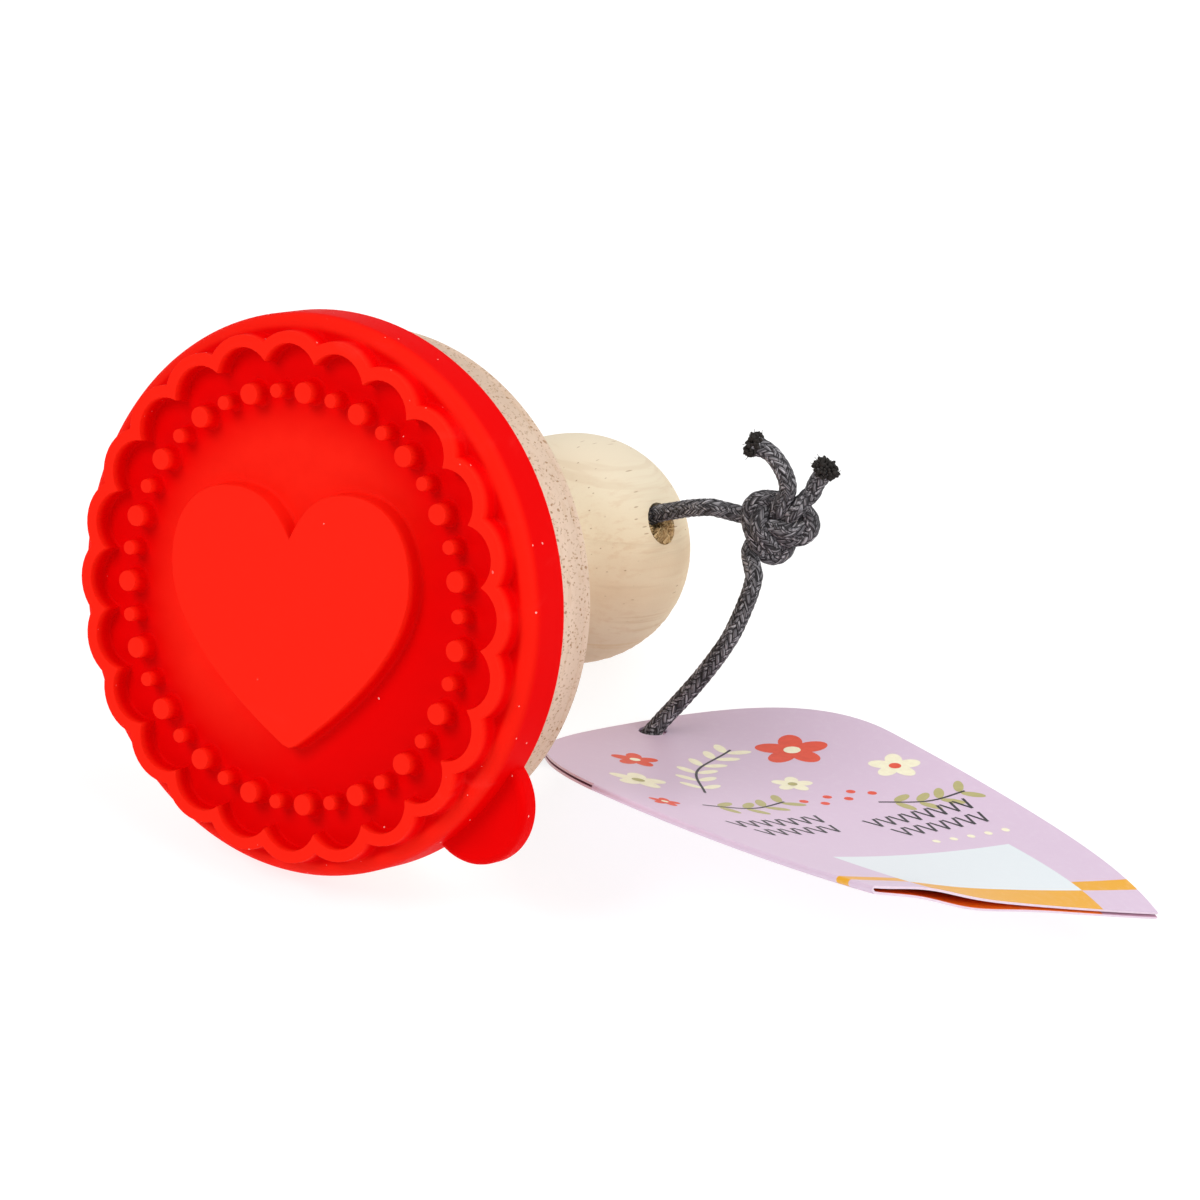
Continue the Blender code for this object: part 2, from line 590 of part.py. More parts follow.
def bore_mouths(stamp_to_cord):
    """Where the cord leaves the bore on either side, lying against the bore's wall, in the cord's frame."""
    along = Vector((math.cos(BORE_ANGLE), math.sin(BORE_ANGLE), 0.0))
    across = Vector((-along.y, along.x, 0.0))
    centre = Vector((0.0, 0.0, -BORE_PLACE))
    play = BORE_DIAMETER / 2 - CORD_RADIUS - CORD_GAP
    reach = BALL_DIAMETER / 2
    front = stamp_to_cord @ (centre + along * reach + across * play)
    rear = stamp_to_cord @ (centre - along * reach - across * play)
    return np.array(front), np.array(rear)


def in_metres(places):
    """A row of places in millimetres as points in metres."""
    return [np.array(place) * MM for place in places]


def build_cords(parent, finish, stamp_to_cord):
    """The cord in four stretches: in the bore, front end and tail, rear end and tail, and by the tag."""
    front_mouth, rear_mouth = bore_mouths(stamp_to_cord)
    inward = (rear_mouth - front_mouth) / np.linalg.norm(rear_mouth - front_mouth)
    knot_front, knot_rear = tight_knot()
    lead = [front_mouth] + in_metres(FRONT_STRAND)
    front = smooth_curve(lead + list(knot_front) + in_metres(FRONT_TAIL), KNOT_STEP)
    rear = smooth_curve(in_metres(REAR_STRAND) + list(knot_rear) + in_metres(REAR_TAIL), KNOT_STEP)
    onward = (rear[0] - rear[1]) / np.linalg.norm(rear[0] - rear[1])
    joint = rear[0] + CORD_GAP * onward
    start = [joint, joint + CORD_DIAMETER / 2 * onward]
    tag = smooth_curve(start + in_metres(TAG_STRAND) + [rear_mouth], CORD_STEP)
    inside = np.linspace(front_mouth + CORD_GAP * inward, rear_mouth - CORD_GAP * inward, 6)
    plain = np.full(len(inside), CORD_RADIUS)
    build_cord_piece("cord_in_handle", inside, plain, parent, finish)
    front_radii = cord_radii(front, [rear])
    rear_radii = cord_radii(rear, [front])
    build_cord_piece("cord_front_end", front, front_radii, parent, finish)
    build_cord_piece("cord_rear_end", rear, rear_radii, parent, finish)
    tag_radii = np.full(len(tag), CORD_RADIUS)
    build_cord_piece("cord_tag_stretch", tag, tag_radii, parent, finish)
    apart = np.linalg.norm(front[:, None] - rear[None], axis=-1) - front_radii[:, None] - rear_radii[None]
    print("least gap between the knot's two strands in mm:", round(float(apart.min()) / MM, 2))


def leaf_height(across, down):
    """Height of the front leaf over its plane, at a share across from the fold and down from the arch's foot."""
    a = 2 * across - 1
    b = 2 * down - 1
    foot = max(down, 0.0) ** 8
    curl = TAG_CURL * math.exp(-((across - 0.18) / 0.14) ** 2)
    return (TAG_TWIST * a * b + TAG_BOW * a * a + TAG_TWIST_ACROSS * a * a * b + TAG_TWIST_ALONG * a * b * b
            - TAG_DROOP * across * foot + curl * foot)


def leaf_drop(across, down):
    """How far the back leaf lies below the front one: a steady gap, and a mouth at the bottom edge."""
    mouth = LEAF_MOUTH * math.exp(-((across - 0.28) / 0.2) ** 2) * max(down, 0.0) ** 6
    return CARD_THICKNESS + LEAF_GAP + mouth


def leaf_place(across, down, drop=0.0):
    """A point of a leaf in the cord's frame."""
    local = Vector(((across - 0.5) * TAG_WIDTH, (0.5 - down) * TAG_SIDE, leaf_height(across, down) - drop))
    return Euler(TAG_FACING).to_matrix() @ local + Vector(TAG_CENTRE)


def leaf_rows():
    """The rows of a leaf, each a place down the card and the half width there as a share of the whole."""
    arch = TAG_WIDTH / 2 / TAG_SIDE
    rows = []
    for step in range(LEAF_ARCH_ROWS):
        angle = math.pi / 2 * (1 - step / LEAF_ARCH_ROWS)
        rows.append((-arch * math.sin(angle), 0.5 * math.cos(angle)))
    rows += [(step / LEAF_SIDE_ROWS, 0.5) for step in range(LEAF_SIDE_ROWS + 1)]
    return rows


def hole_place():
    """The hole's place on the card, across from the fold and down from the arch's foot."""
    across = HOLE_FROM_FOLD / TAG_WIDTH
    edge = math.sqrt(max(0.0, 0.25 - (across - 0.5) ** 2)) * TAG_WIDTH
    return across, -(edge - HOLE_FROM_TOP) / TAG_SIDE


def build_leaf(name, parent, origin, finish, is_back):
    """One leaf of the tag: a grid bent to the card's form, given its thickness, with the cord's hole in it."""
    rows = leaf_rows()
    work = bmesh.new()
    bmesh.ops.create_grid(work, x_segments=LEAF_COLUMNS, y_segments=len(rows) - 1, size=1.0)
    inset = CARD_THICKNESS / TAG_WIDTH if is_back else 0.0
    for vert in work.verts:
        down, half = rows[round((1 - vert.co.y) / 2 * (len(rows) - 1))]
        across = max(inset, 0.5 + vert.co.x * half)
        drop = leaf_drop(across, down) if is_back else 0.0
        vert.co = leaf_place(across, down, drop) - origin
    leaf = new_object(name, mesh_from(name, work, closed=False), parent, finish)
    thick = leaf.modifiers.new("thickness", "SOLIDIFY")
    thick.thickness = CARD_THICKNESS
    thick.offset = -1.0
    across, down = hole_place()
    step = 0.01
    here = leaf_place(across, down)
    normal = (leaf_place(across + step, down) - here).cross(leaf_place(across, down - step) - here).normalized()
    cut = bmesh.new()
    radius = HOLE_DIAMETER / 2
    bmesh.ops.create_cone(cut, cap_ends=True, segments=HOLE_STEPS, radius1=radius, radius2=radius,
                          depth=10 * (CARD_THICKNESS + LEAF_GAP))
    turn = normal.to_track_quat("Z", "Y").to_matrix()
    bmesh.ops.rotate(cut, verts=cut.verts, cent=(0, 0, 0), matrix=turn)
    bmesh.ops.translate(cut, verts=cut.verts, vec=here - origin)
    boolean(leaf, new_object(name + "_hole", mesh_from(name + "_hole", cut), parent), "DIFFERENCE")
    return leaf


def build_tag(parent, front_finish, back_finish):
    """The folded tag: the back leaf swings about the cord in its hole, and the front leaf opens on the fold."""
    hole = leaf_place(*hole_place())
    fold = leaf_place(0.0, 0.0, (CARD_THICKNESS + LEAF_GAP) / 2)
    swing_axis = new_object("tag_swing_axis", None, parent)
    swing_axis.location = hole
    fold_axis = new_object("tag_fold_axis", None, swing_axis)
    fold_axis.location = fold - hole
    build_leaf("tag_back_leaf", swing_axis, hole, back_finish, True)
    build_leaf("tag_front_leaf", fold_axis, fold, front_finish, False)


def set_down(ground, names):
    """Moves the model so that its origin is under the middle of the stamp's box, on the ground."""
    bpy.context.view_layer.update()
    graph = bpy.context.evaluated_depsgraph_get()
    corners = []
    for name in names:
        piece = bpy.data.objects[name].evaluated_get(graph)
        corners += [piece.matrix_world @ vert.co for vert in piece.data.vertices]
    low = Vector(min(corner[axis] for corner in corners) for axis in range(3))
    high = Vector(max(corner[axis] for corner in corners) for axis in range(3))
    ground.location = (-(low.x + high.x) / 2, -(low.y + high.y) / 2, -low.z)


def main():
    """Builds every piece and sets the stamp down."""
    for old in list(bpy.data.objects):
        bpy.data.objects.remove(old, do_unlink=True)
    beech = material("beech", BEECH, 0.6)
    silicone = material("silicone", SILICONE, 0.45)
    cotton = material("waxed_cotton", CHARCOAL, 0.7)
    ground = new_object("ground", None, None)
    lean, height = resting_lean()
    stamp = new_object("stamp_axis", None, ground)
    stamp.rotation_mode = "ZYX"
    stamp.rotation_euler = (math.pi / 2 - lean, 0.0, STAMP_TURN)
    stamp.location = (0.0, FACE * math.cos(lean), height)
    build_disc(stamp, beech)
    build_dowel(stamp, beech)
    build_handle(stamp, beech)
    build_pad(stamp, silicone)
    cord = new_object("cord_place", None, ground)
    cord.location = (0.0, (FACE + BALL_CENTRE) * math.cos(lean), 0.0)
    turn = Euler(stamp.rotation_euler, "ZYX").to_matrix().to_4x4()
    stamp_to_cord = Matrix.Translation(stamp.location - cord.location) @ turn
    build_cords(cord, cotton, stamp_to_cord)
    build_tag(cord, material("lilac_card", LILAC, 0.5), material("orange_card", ORANGE, 0.5))
    set_down(ground, ("base_disc", "handle", "dowel", "stamp_pad"))
    print("lean of the stamp in degrees:", round(math.degrees(lean), 2))


main()
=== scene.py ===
"""Looks of a cookie stamp: red silicone cap, beech disc and handle, knotted cord and folded swing tag."""

import logging
import math
import random
from dataclasses import dataclass, field
from enum import Enum
from typing import Callable, Iterable, Sequence

import bmesh
import bpy
import numpy as np
from mathutils import Euler, Matrix, Vector, noise


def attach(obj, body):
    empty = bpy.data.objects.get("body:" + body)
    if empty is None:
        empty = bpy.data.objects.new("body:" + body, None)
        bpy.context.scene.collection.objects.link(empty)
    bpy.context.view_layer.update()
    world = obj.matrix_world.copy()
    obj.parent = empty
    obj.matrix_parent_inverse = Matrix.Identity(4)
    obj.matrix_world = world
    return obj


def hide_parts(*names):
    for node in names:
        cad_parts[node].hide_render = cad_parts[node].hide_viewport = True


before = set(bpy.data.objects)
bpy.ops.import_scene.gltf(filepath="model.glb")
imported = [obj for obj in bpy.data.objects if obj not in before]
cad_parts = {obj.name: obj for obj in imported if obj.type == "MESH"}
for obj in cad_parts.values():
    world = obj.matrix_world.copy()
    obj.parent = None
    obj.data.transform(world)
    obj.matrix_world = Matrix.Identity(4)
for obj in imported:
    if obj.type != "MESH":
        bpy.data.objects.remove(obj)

LOG = logging.getLogger("cookie_stamp")
MM = 0.001
Point2 = tuple[float, float]
Ring = tuple[float, float]
Colour = tuple[float, float, float, float]
Scales = tuple[float, float, float]
Socket = bpy.types.NodeSocket

# Where the stamp's own frame stands: +Z out of the face, 0 at the disc's rear
LEAN = math.radians(20.13)
STAMP_TURN = math.radians(20.6)
STAMP_PLACE = Vector((-0.67, -13.22, 30.01)) * MM
STAMP = (Matrix.Translation(STAMP_PLACE) @ Matrix.Rotation(math.pi / 2 - LEAN, 4, "X")
         @ Matrix.Rotation(STAMP_TURN, 4, "Z"))

# The same for forms in millimetres, and which way is down in it
STAMP_MM = STAMP @ Matrix.Scale(MM, 4)
STAMP_DOWN = STAMP.to_3x3().inverted() @ Vector((0, 0, -1))

# Where cord and tag are measured from: the ground under the ball's centre
CORD_PLACE = Vector((-0.67, 26.21, 0.0)) * MM
CORD_MM = Matrix.Translation(CORD_PLACE) @ Matrix.Scale(MM, 4)

LOOSE_KNOT = [(-11.0, -5.5, -0.5), (-7.5, -3.2, -1.6), (-4.0, -1.5, -2.2), (-1.0, -1.6, 0.0), (2.5, -1.0, 2.4),
              (6.0, -0.8, 1.6), (8.2, 1.0, 0.0), (6.0, 3.8, -1.6), (1.5, 4.2, -2.4), (-3.0, 5.6, -1.2),
              (-6.6, 4.0, 0.6), (-6.0, 0.6, 2.2), (-4.0, -1.8, 2.4), (-2.8, -5.0, 1.2), (0.0, -7.0, -0.6),
              (2.6, -4.8, -2.0), (2.8, -1.0, -2.2), (2.2, 2.0, 0.4), (2.0, 4.6, 2.2), (2.4, 8.0, 1.0), (2.6, 11.0, 0.0)]
FRONT_IN = (20.0, 3.4, 27.9)
FRONT_OUT = (28.9, 7.2, 31.8)
REAR_IN = (28.0, 1.6, 21.6)
REAR_OUT = (31.2, 9.4, 31.5)
FRONT_STRAND = [(14.6, 2.7, 25.7), (17.0, 2.9, 26.9)]
FRONT_TAIL = [(28.7, 7.3, 33.3), (27.8, 7.2, 35.1), (26.2, 6.9, 36.8), (24.1, 6.1, 37.7)]
REAR_STRAND = [(28.6, -2.1, 17.3), (28.6, -1.1, 18.5), (28.5, 0.2, 20.1)]
REAR_TAIL = [(31.5, 9.8, 32.8), (32.0, 10.3, 34.0), (32.4, 10.6, 35.1)]
TAG_STRAND = [(28.6, -4.0, 15.4), (28.2, -5.7, 13.6), (27.0, -8.2, 10.5), (25.3, -10.5, 7.2), (24.0, -12.2, 4.9),
              (23.2, -13.3, 3.3), (22.5, -14.5, 2.0), (21.6, -16.2, 1.3), (20.2, -18.6, 1.3), (17.6, -21.1, 1.3),
              (13.6, -22.6, 1.3), (7.5, -23.6, 1.3), (0.0, -23.4, 1.3), (-8.0, -20.8, 1.3),
              (-15.5, -16.0, 1.3), (-20.4, -10.0, 1.8), (-21.2, -6.4, 3.0), (-19.4, -4.6, 4.6)]


def polar(radius: float, angle: float) -> Point2:
    """Gives the point at a radius and an angle."""
    return radius * math.cos(angle), radius * math.sin(angle)


def arc(centre: Point2, radius: float, start: float, end: float, steps: int) -> list[Point2]:
    """Gives the points of an arc.

    Args:
        centre: Its centre.
        radius: Its radius.
        start: Direction of the first point, in quarter turns.
        end: Direction of the last point.
        steps: How many steps lie between them.

    Returns:
        The points.
    """
    points = []
    for step in range(steps + 1):
        x, y = polar(radius, math.pi / 2 * (start + (end - start) * step / steps))
        points.append((centre[0] + x, centre[1] + y))
    return points


def cubic(a: Point2, b: Point2, c: Point2, d: Point2, steps: int) -> list[Point2]:
    """Samples a cubic curve.

    Args:
        a: Start.
        b: First pull.
        c: Second pull.
        d: End, which isn't among the samples.
        steps: How many samples.

    Returns:
        The samples, from the start on.
    """
    points = []
    for count in range(steps):
        t = count / steps
        weights = ((1 - t) ** 3, 3 * (1 - t) ** 2 * t, 3 * (1 - t) * t * t, t ** 3)
        points.append(tuple(sum(w * p[axis] for w, p in zip(weights, (a, b, c, d))) for axis in (0, 1)))
    return points


def aimed(spot: Vector, way: Vector) -> Matrix:
    """Gives the matrix that lays the Z axis along a direction at a spot."""
    return Matrix.Translation(spot) @ way.to_track_quat("Z", "Y").to_matrix().to_4x4()


def smooth(mesh: bpy.types.Mesh, sharp: float) -> None:
    """Shades a mesh smooth and keeps its edges above an angle in degrees crisp."""
    mesh.shade_smooth()
    mesh.set_sharp_from_angle(angle=math.radians(sharp))


def coat(made: bpy.types.Object, material: bpy.types.Material) -> None:
    """Gives an object one material and no other."""
    made.data.materials.clear()
    made.data.materials.append(material)


def finish_object(name: str, work: bmesh.types.BMesh, matrix: Matrix | None = None,
                  sharp: float = 40.0) -> bpy.types.Object:
    """Makes a smooth-shaded object at the origin from a bmesh.

    Args:
        name: The piece's name.
        work: The bmesh, freed here.
        matrix: Where the piece goes; it is put into the mesh.
        sharp: Edges above this angle in degrees stay crisp.

    Returns:
        The linked object.
    """
    mesh = bpy.data.meshes.new(name)
    work.to_mesh(mesh)
    work.free()
    if matrix is not None:
        mesh.transform(matrix)
    smooth(mesh, sharp)
    made = bpy.data.objects.new(name, mesh)
    bpy.context.scene.collection.objects.link(made)
    return made


def settle_modifiers(made: bpy.types.Object) -> bpy.types.Object:
    """Puts an object's modifiers into its mesh.

    Args:
        made: The object.

    Returns:
        The same object, without modifiers.
    """
    graph = bpy.context.evaluated_depsgraph_get()
    mesh = bpy.data.meshes.new_from_object(made.evaluated_get(graph), preserve_all_data_layers=True,
                                           depsgraph=graph)
    made.modifiers.clear()
    old = made.data
    made.data = mesh
    mesh.name = made.name
    bpy.data.meshes.remove(old)
    return made


def combine(base: bpy.types.Object, others: Iterable[bpy.types.Object], operation: str) -> bpy.types.Object:
    """Joins or cuts solids with an exact Boolean and takes the other solids away.

    Args:
        base: The solid that stays.
        others: The solids to add or to cut with.
        operation: UNION or DIFFERENCE.

    Returns:
        The base object with its new mesh.
    """
    others = list(others)
    for other in others:
        modifier = base.modifiers.new(other.name, "BOOLEAN")
        modifier.operation = operation
        modifier.solver = "EXACT"
        modifier.object = other
    settle_modifiers(base)
    for other in others:
        mesh = other.data
        bpy.data.objects.remove(other)
        bpy.data.meshes.remove(mesh)
    return base


def spin_profile(profile: Sequence[Ring], steps: int) -> bmesh.types.BMesh:
    """Turns a profile about the Z axis.

    Args:
        profile: Points of radius and height, from the axis down the outside and back to the axis.
        steps: How many facets all round.

    Returns:
        A closed bmesh with its faces outwards.
    """
    work = bmesh.new()
    points = [work.verts.new((radius, 0.0, height)) for radius, height in profile]
    edges = [work.edges.new(pair) for pair in zip(points, points[1:])]
    bmesh.ops.spin(work, geom=points + edges, cent=(0, 0, 0), axis=(0, 0, 1), angle=math.tau, steps=steps,
                   use_merge=True)
    bmesh.ops.remove_doubles(work, verts=work.verts, dist=1e-6)
    bmesh.ops.recalc_face_normals(work, faces=work.faces)
    return work


def operator(name: str) -> Callable[["Value", object], "Value"]:
    """Gives the method of Value that adds one math node."""
    return lambda value, other: value.nodes.math(name, value, other)


@dataclass(frozen=True)
class Value:
    """One output in a node tree, which can be reckoned with like a number. The sign | takes the larger."""

    nodes: "Nodes"
    socket: Socket

    __add__ = operator("ADD")
    __sub__ = operator("SUBTRACT")
    __mul__ = operator("MULTIPLY")
    __mod__ = operator("FLOORED_MODULO")
    __pow__ = operator("POWER")
    __or__ = operator("MAXIMUM")
    __lt__ = operator("LESS_THAN")
    __gt__ = operator("GREATER_THAN")

    def __rsub__(self, other: float) -> "Value":
        """Takes this value away from a number."""
        return self.nodes.math("SUBTRACT", other, self)

    def times_plus(self, gain: object, more: object) -> "Value":
        """Multiplies by one value and adds another."""
        return self.nodes.math("MULTIPLY_ADD", self, gain, more)

    def within(self, low: float, high: float) -> "Value":
        """Masks what lies between two limits."""
        return (self > low) * (self < high)


class Nodes:
    """Short hand for wiring one node tree."""

    def __init__(self, tree: bpy.types.NodeTree) -> None:
        """Keeps the tree."""
        self.tree = tree

    def feed(self, socket: Socket, value: object) -> None:
        """Links a value to a socket, or sets the socket's own.

        Args:
            socket: The socket.
            value: A value of the tree, or a plain one.
        """
        if isinstance(value, Value):
            self.tree.links.new(value.socket, socket)
        else:
            socket.default_value = value

    def new(self, kind: str, inputs: dict | None = None, **settings: object) -> bpy.types.Node:
        """Adds a node.

        Args:
            kind: Its type, without ShaderNode.
            inputs: Values by input name or number.
            settings: Its properties.

        Returns:
            The node.
        """
        node = self.tree.nodes.new("ShaderNode" + kind)
        for key, value in settings.items():
            setattr(node, key, value)
        for key, value in (inputs or {}).items():
            self.feed(node.inputs[key], value)
        return node

    def out(self, kind: str, inputs: dict | None = None, output: int | str = 0, **settings: object) -> Value:
        """Adds a node and gives one of its outputs."""
        return Value(self, self.new(kind, inputs, **settings).outputs[output])

    def math(self, operation: str, *values: object) -> Value:
        """Adds a sum of one, two or three values."""
        return self.out("Math", dict(enumerate(values)), operation=operation)

    def mix(self, share: object, first: object, second: object) -> Value:
        """Mixes two colours."""
        return self.out("Mix", {0: share, 6: first, 7: second}, 2, data_type="RGBA")

    def noise(self, vector: Value, scale: float, detail: float = 3.0, rough: float = 0.5) -> Value:
        """Adds a noise of one scale."""
        return self.out("TexNoise", {"Vector": vector, "Scale": scale, "Detail": detail, "Roughness": rough})

    def stretch(self, vector: Value, scale: Scales, turn: Scales = (0.0, 0.0, 0.0)) -> Value:
        """Turns and scales coordinates."""
        return self.out("Mapping", {"Vector": vector, "Rotation": turn, "Scale": scale})

    def grain(self, vector: Value, scale: Scales, detail: float, rough: float) -> Value:
        """Adds a noise with a scale for each direction."""
        return self.noise(self.stretch(vector, scale), 1.0, detail, rough)

    def band(self, value: Value, low: float, high: float) -> Value:
        """Rises smoothly from 0 at the low value to 1 at the high one."""
        return self.out("MapRange", {"Value": value, "From Min": low, "From Max": high},
                        interpolation_type="SMOOTHSTEP", clamp=True)

    def span(self, value: Value, limits: Point2) -> Value:
        """Rises smoothly from 0 at the first place to 1 at the second, both in millimetres."""
        return self.band(value, limits[0] * MM, limits[1] * MM)

    def split(self, vector: Value) -> list[Value]:
        """Gives the three parts of a vector."""
        return [Value(self, part) for part in self.new("SeparateXYZ", {0: vector}).outputs]

    def cells(self, vector: Value, scale: object) -> tuple[Value, Value, Value]:
        """Adds cells: the distance from their middles, and two numbers that each cell has to itself.

        Args:
            vector: Coordinates.
            scale: Cells a metre.

        Returns:
            The distance and the two numbers.
        """
        node = self.new("TexVoronoi", {"Vector": vector, "Scale": scale})
        red, green, _ = self.split(Value(self, node.outputs["Color"]))
        return Value(self, node.outputs["Distance"]), red, green

    def bump(self, height: Value, strength: float, distance: float) -> Value:
        """Turns a height into a normal."""
        return self.out("Bump", {"Height": height, "Strength": strength, "Distance": distance})

    def place(self) -> Value:
        """Gives the object's coordinates in metres."""
        return self.out("TexCoord", output="Object")

    def stamp_place(self) -> Value:
        """Gives the coordinates in the stamp's own frame, in metres."""
        values = {"Vector": self.place(), "Location": STAMP.translation, "Rotation": STAMP.to_euler()}
        return self.out("Mapping", values, vector_type="TEXTURE")


class Paint(Nodes):
    """The nodes of one material."""

    def __init__(self, name: str, roughness: float, specular: float) -> None:
        """Makes a material that holds only its shader.

        Args:
            name: The material's name.
            roughness: The shader's roughness.
            specular: The shader's specular level.
        """
        self.material = bpy.data.materials.new(name)
        self.material.use_nodes = True
        super().__init__(self.material.node_tree)
        self.give({"Roughness": roughness, "Specular IOR Level": specular})

    def give(self, values: dict[str, object]) -> bpy.types.Material:
        """Feeds the shader and gives the material.

        Args:
            values: Numbers, colours or sockets by the shader's input names.

        Returns:
            The material.
        """
        for label, value in values.items():
            self.feed(self.tree.nodes["Principled BSDF"].inputs[label], value)
        return self.material


def shared_group(name: str, inputs: Sequence[str], outputs: Sequence[str],
                 wire: Callable[[Nodes, dict[str, Value]], dict[str, Value]]) -> bpy.types.NodeTree:
    """Gives a shader node group, built the first time that it is asked for.

    Args:
        name: The group's name.
        inputs: Its inputs; the one named Vector is a vector, and the others are numbers.
        outputs: Its outputs, all numbers.
        wire: Builds the group's nodes from its inputs and gives its outputs.

    Returns:
        The group.
    """
    if name in bpy.data.node_groups:
        return bpy.data.node_groups[name]
    group = bpy.data.node_groups.new(name, "ShaderNodeTree")
    for way, labels in (("INPUT", inputs), ("OUTPUT", outputs)):
        for label in labels:
            kind = "NodeSocketVector" if label == "Vector" else "NodeSocketFloat"
            group.interface.new_socket(name=label, in_out=way, socket_type=kind)
    nodes = Nodes(group)
    start = group.nodes.new("NodeGroupInput")
    end = group.nodes.new("NodeGroupOutput")
    made = wire(nodes, {label: Value(nodes, start.outputs[label]) for label in inputs})
    for label, value in made.items():
        nodes.feed(end.inputs[label], value)
    return group


def dust_group() -> bpy.types.NodeTree:
    """Gives the group that scatters small specks of dust.

    Returns:
        The group.
    """

    def wire(nodes: Nodes, given: dict[str, Value]) -> dict[str, Value]:
        """Keeps the middles of a few cells.

        Args:
            nodes: The group's nodes.
            given: Its inputs by name.

        Returns:
            Its outputs by name.
        """
        wobble = nodes.out("TexNoise", {"Vector": given["Vector"], "Scale": 900.0, "Detail": 1.0}, "Color")
        shift = nodes.out("VectorMath", {0: wobble, 1: (0.5 * MM,) * 3}, operation="MULTIPLY")
        bent = nodes.out("VectorMath", {0: given["Vector"], 1: shift}, operation="ADD")
        distance, chance, size = nodes.cells(bent, given["Scale"])
        few = chance > 1.0 - given["Share"]
        return {"Mask": few * (distance < size * given["Size"])}

    return shared_group("dust specks", ("Vector", "Scale", "Share", "Size"), ("Mask",), wire)


def dust(nodes: Nodes, vector: Value, scale: float, share: float, size: float) -> Value:
    """Places the dust group in a material.

    Args:
        nodes: The material's nodes.
        vector: Coordinates in metres.
        scale: Cells a metre.
        share: Share of the cells that hold a speck.
        size: Largest speck, as a share of a cell.

    Returns:
        The specks' mask.
    """
    values = {"Vector": vector, "Scale": scale, "Share": share, "Size": size}
    return nodes.out("Group", values, node_tree=dust_group())


@dataclass(frozen=True)
class SiliconeFinish:
    """Matt red silicone with a little dust, and painted light and painted shade in its red. Pairs are where a tone
    begins and is full, in millimetres.
    """

    # Painted shade and painted light: a shaded and a lit copy of one red
    shaded_red: Colour = (0.79, 0.0002, 0.0005, 1.0)
    lit_red: Colour = (0.98, 0.0165, 0.0065, 1.0)
    haze: Colour = (1.0, 0.13, 0.11, 1.0)
    speck: Colour = (1.0, 0.60, 0.55, 1.0)
    roughness: float = 0.52
    # Where the painted highlights fall: raised tops by height, the floor by slant and reach, the shoulder's band by
    # reach and height
    raised: Point2 = (17.5, 18.95)
    lit_side: Point2 = (-2.0, 52.0)
    lit_floor: Point2 = (25.5, 18.0)
    wall: Point2 = (32.9, 33.7)
    shoulder: Point2 = (14.4, 15.9)
    outside: Point2 = (30.0, 33.5)
    dust: tuple = (420.0, 0.055, 0.075)
    fine_dust: tuple = (1000.0, 0.14, 0.16)
    dust_strength: float = 0.65

    def material(self) -> bpy.types.Material:
        """Gives the silicone: painted highlights on raised forms, on the floor's upper left and on the shoulder, and
        painted shade deeper towards the rim.

        Returns:
            The material.
        """
        paint = Paint("red_silicone", self.roughness, 0.02)
        place = paint.place()
        x, y, height = paint.split(paint.stamp_place())
        reach = paint.math("SQRT", x.times_plus(x, y * y))
        mottle = paint.noise(place, 260.0, 3.0, 0.6)
        across, _, up = paint.split(place)
        # Painted light: the lit red on raised tops, the open floor's upper left and the shoulder's highlight band;
        # painted shade elsewhere
        lit = paint.span(across.times_plus(-2.0, up), self.lit_side)
        floor = paint.span(reach, self.lit_floor) * (lit * mottle.times_plus(0.5, 0.65))
        shoulder = paint.span(reach, self.wall) * paint.span(height, self.shoulder)
        light = paint.span(height, self.raised) | floor | shoulder * 0.75
        colour = paint.mix(light, self.shaded_red, self.lit_red)
        outside = paint.span(reach, self.outside)
        smear = paint.band(paint.grain(place, (70.0, 70.0, 190.0), 5.0, 0.6), 0.60, 0.85)
        colour = paint.mix(smear * outside.times_plus(0.10, 0.03), colour, self.haze)
        specks = dust(paint, place, *self.dust) | dust(paint, place, *self.fine_dust) * outside
        colour = paint.mix(specks * self.dust_strength, colour, self.speck)
        fine = paint.noise(place, 2600.0, 4.0, 0.65)
        return paint.give({"Base Color": colour, "Roughness": fine.times_plus(0.16, self.roughness - 0.08),
                           "Normal": paint.bump(fine, 0.12, 0.04 * MM), "Subsurface Weight": 0.05,
                           "Subsurface Radius": (1.6 * MM, 0.3 * MM, 0.2 * MM), "Subsurface Scale": 1.0})


@dataclass(frozen=True)
class Grain:
    """How a cut shows its grain: noise cells a metre in three ways, and how strong lines and pores are."""

    label: str
    wide: Scales
    streak: Scales
    lines: Scales
    line_strength: float
    pore_strength: float


class Cut(Enum):
    """How a turned piece of beech is cut from the tree."""

    LONG = Grain("long_grain", (30.0, 130.0, 12.0), (1300.0, 1300.0, 50.0), (70.0, 560.0, 16.0), 0.55, 0.65)
    RIM = Grain("rim", (40.0, 25.0, 140.0), (700.0, 60.0, 700.0), (900.0, 45.0, 900.0), 0.22, 0.85)


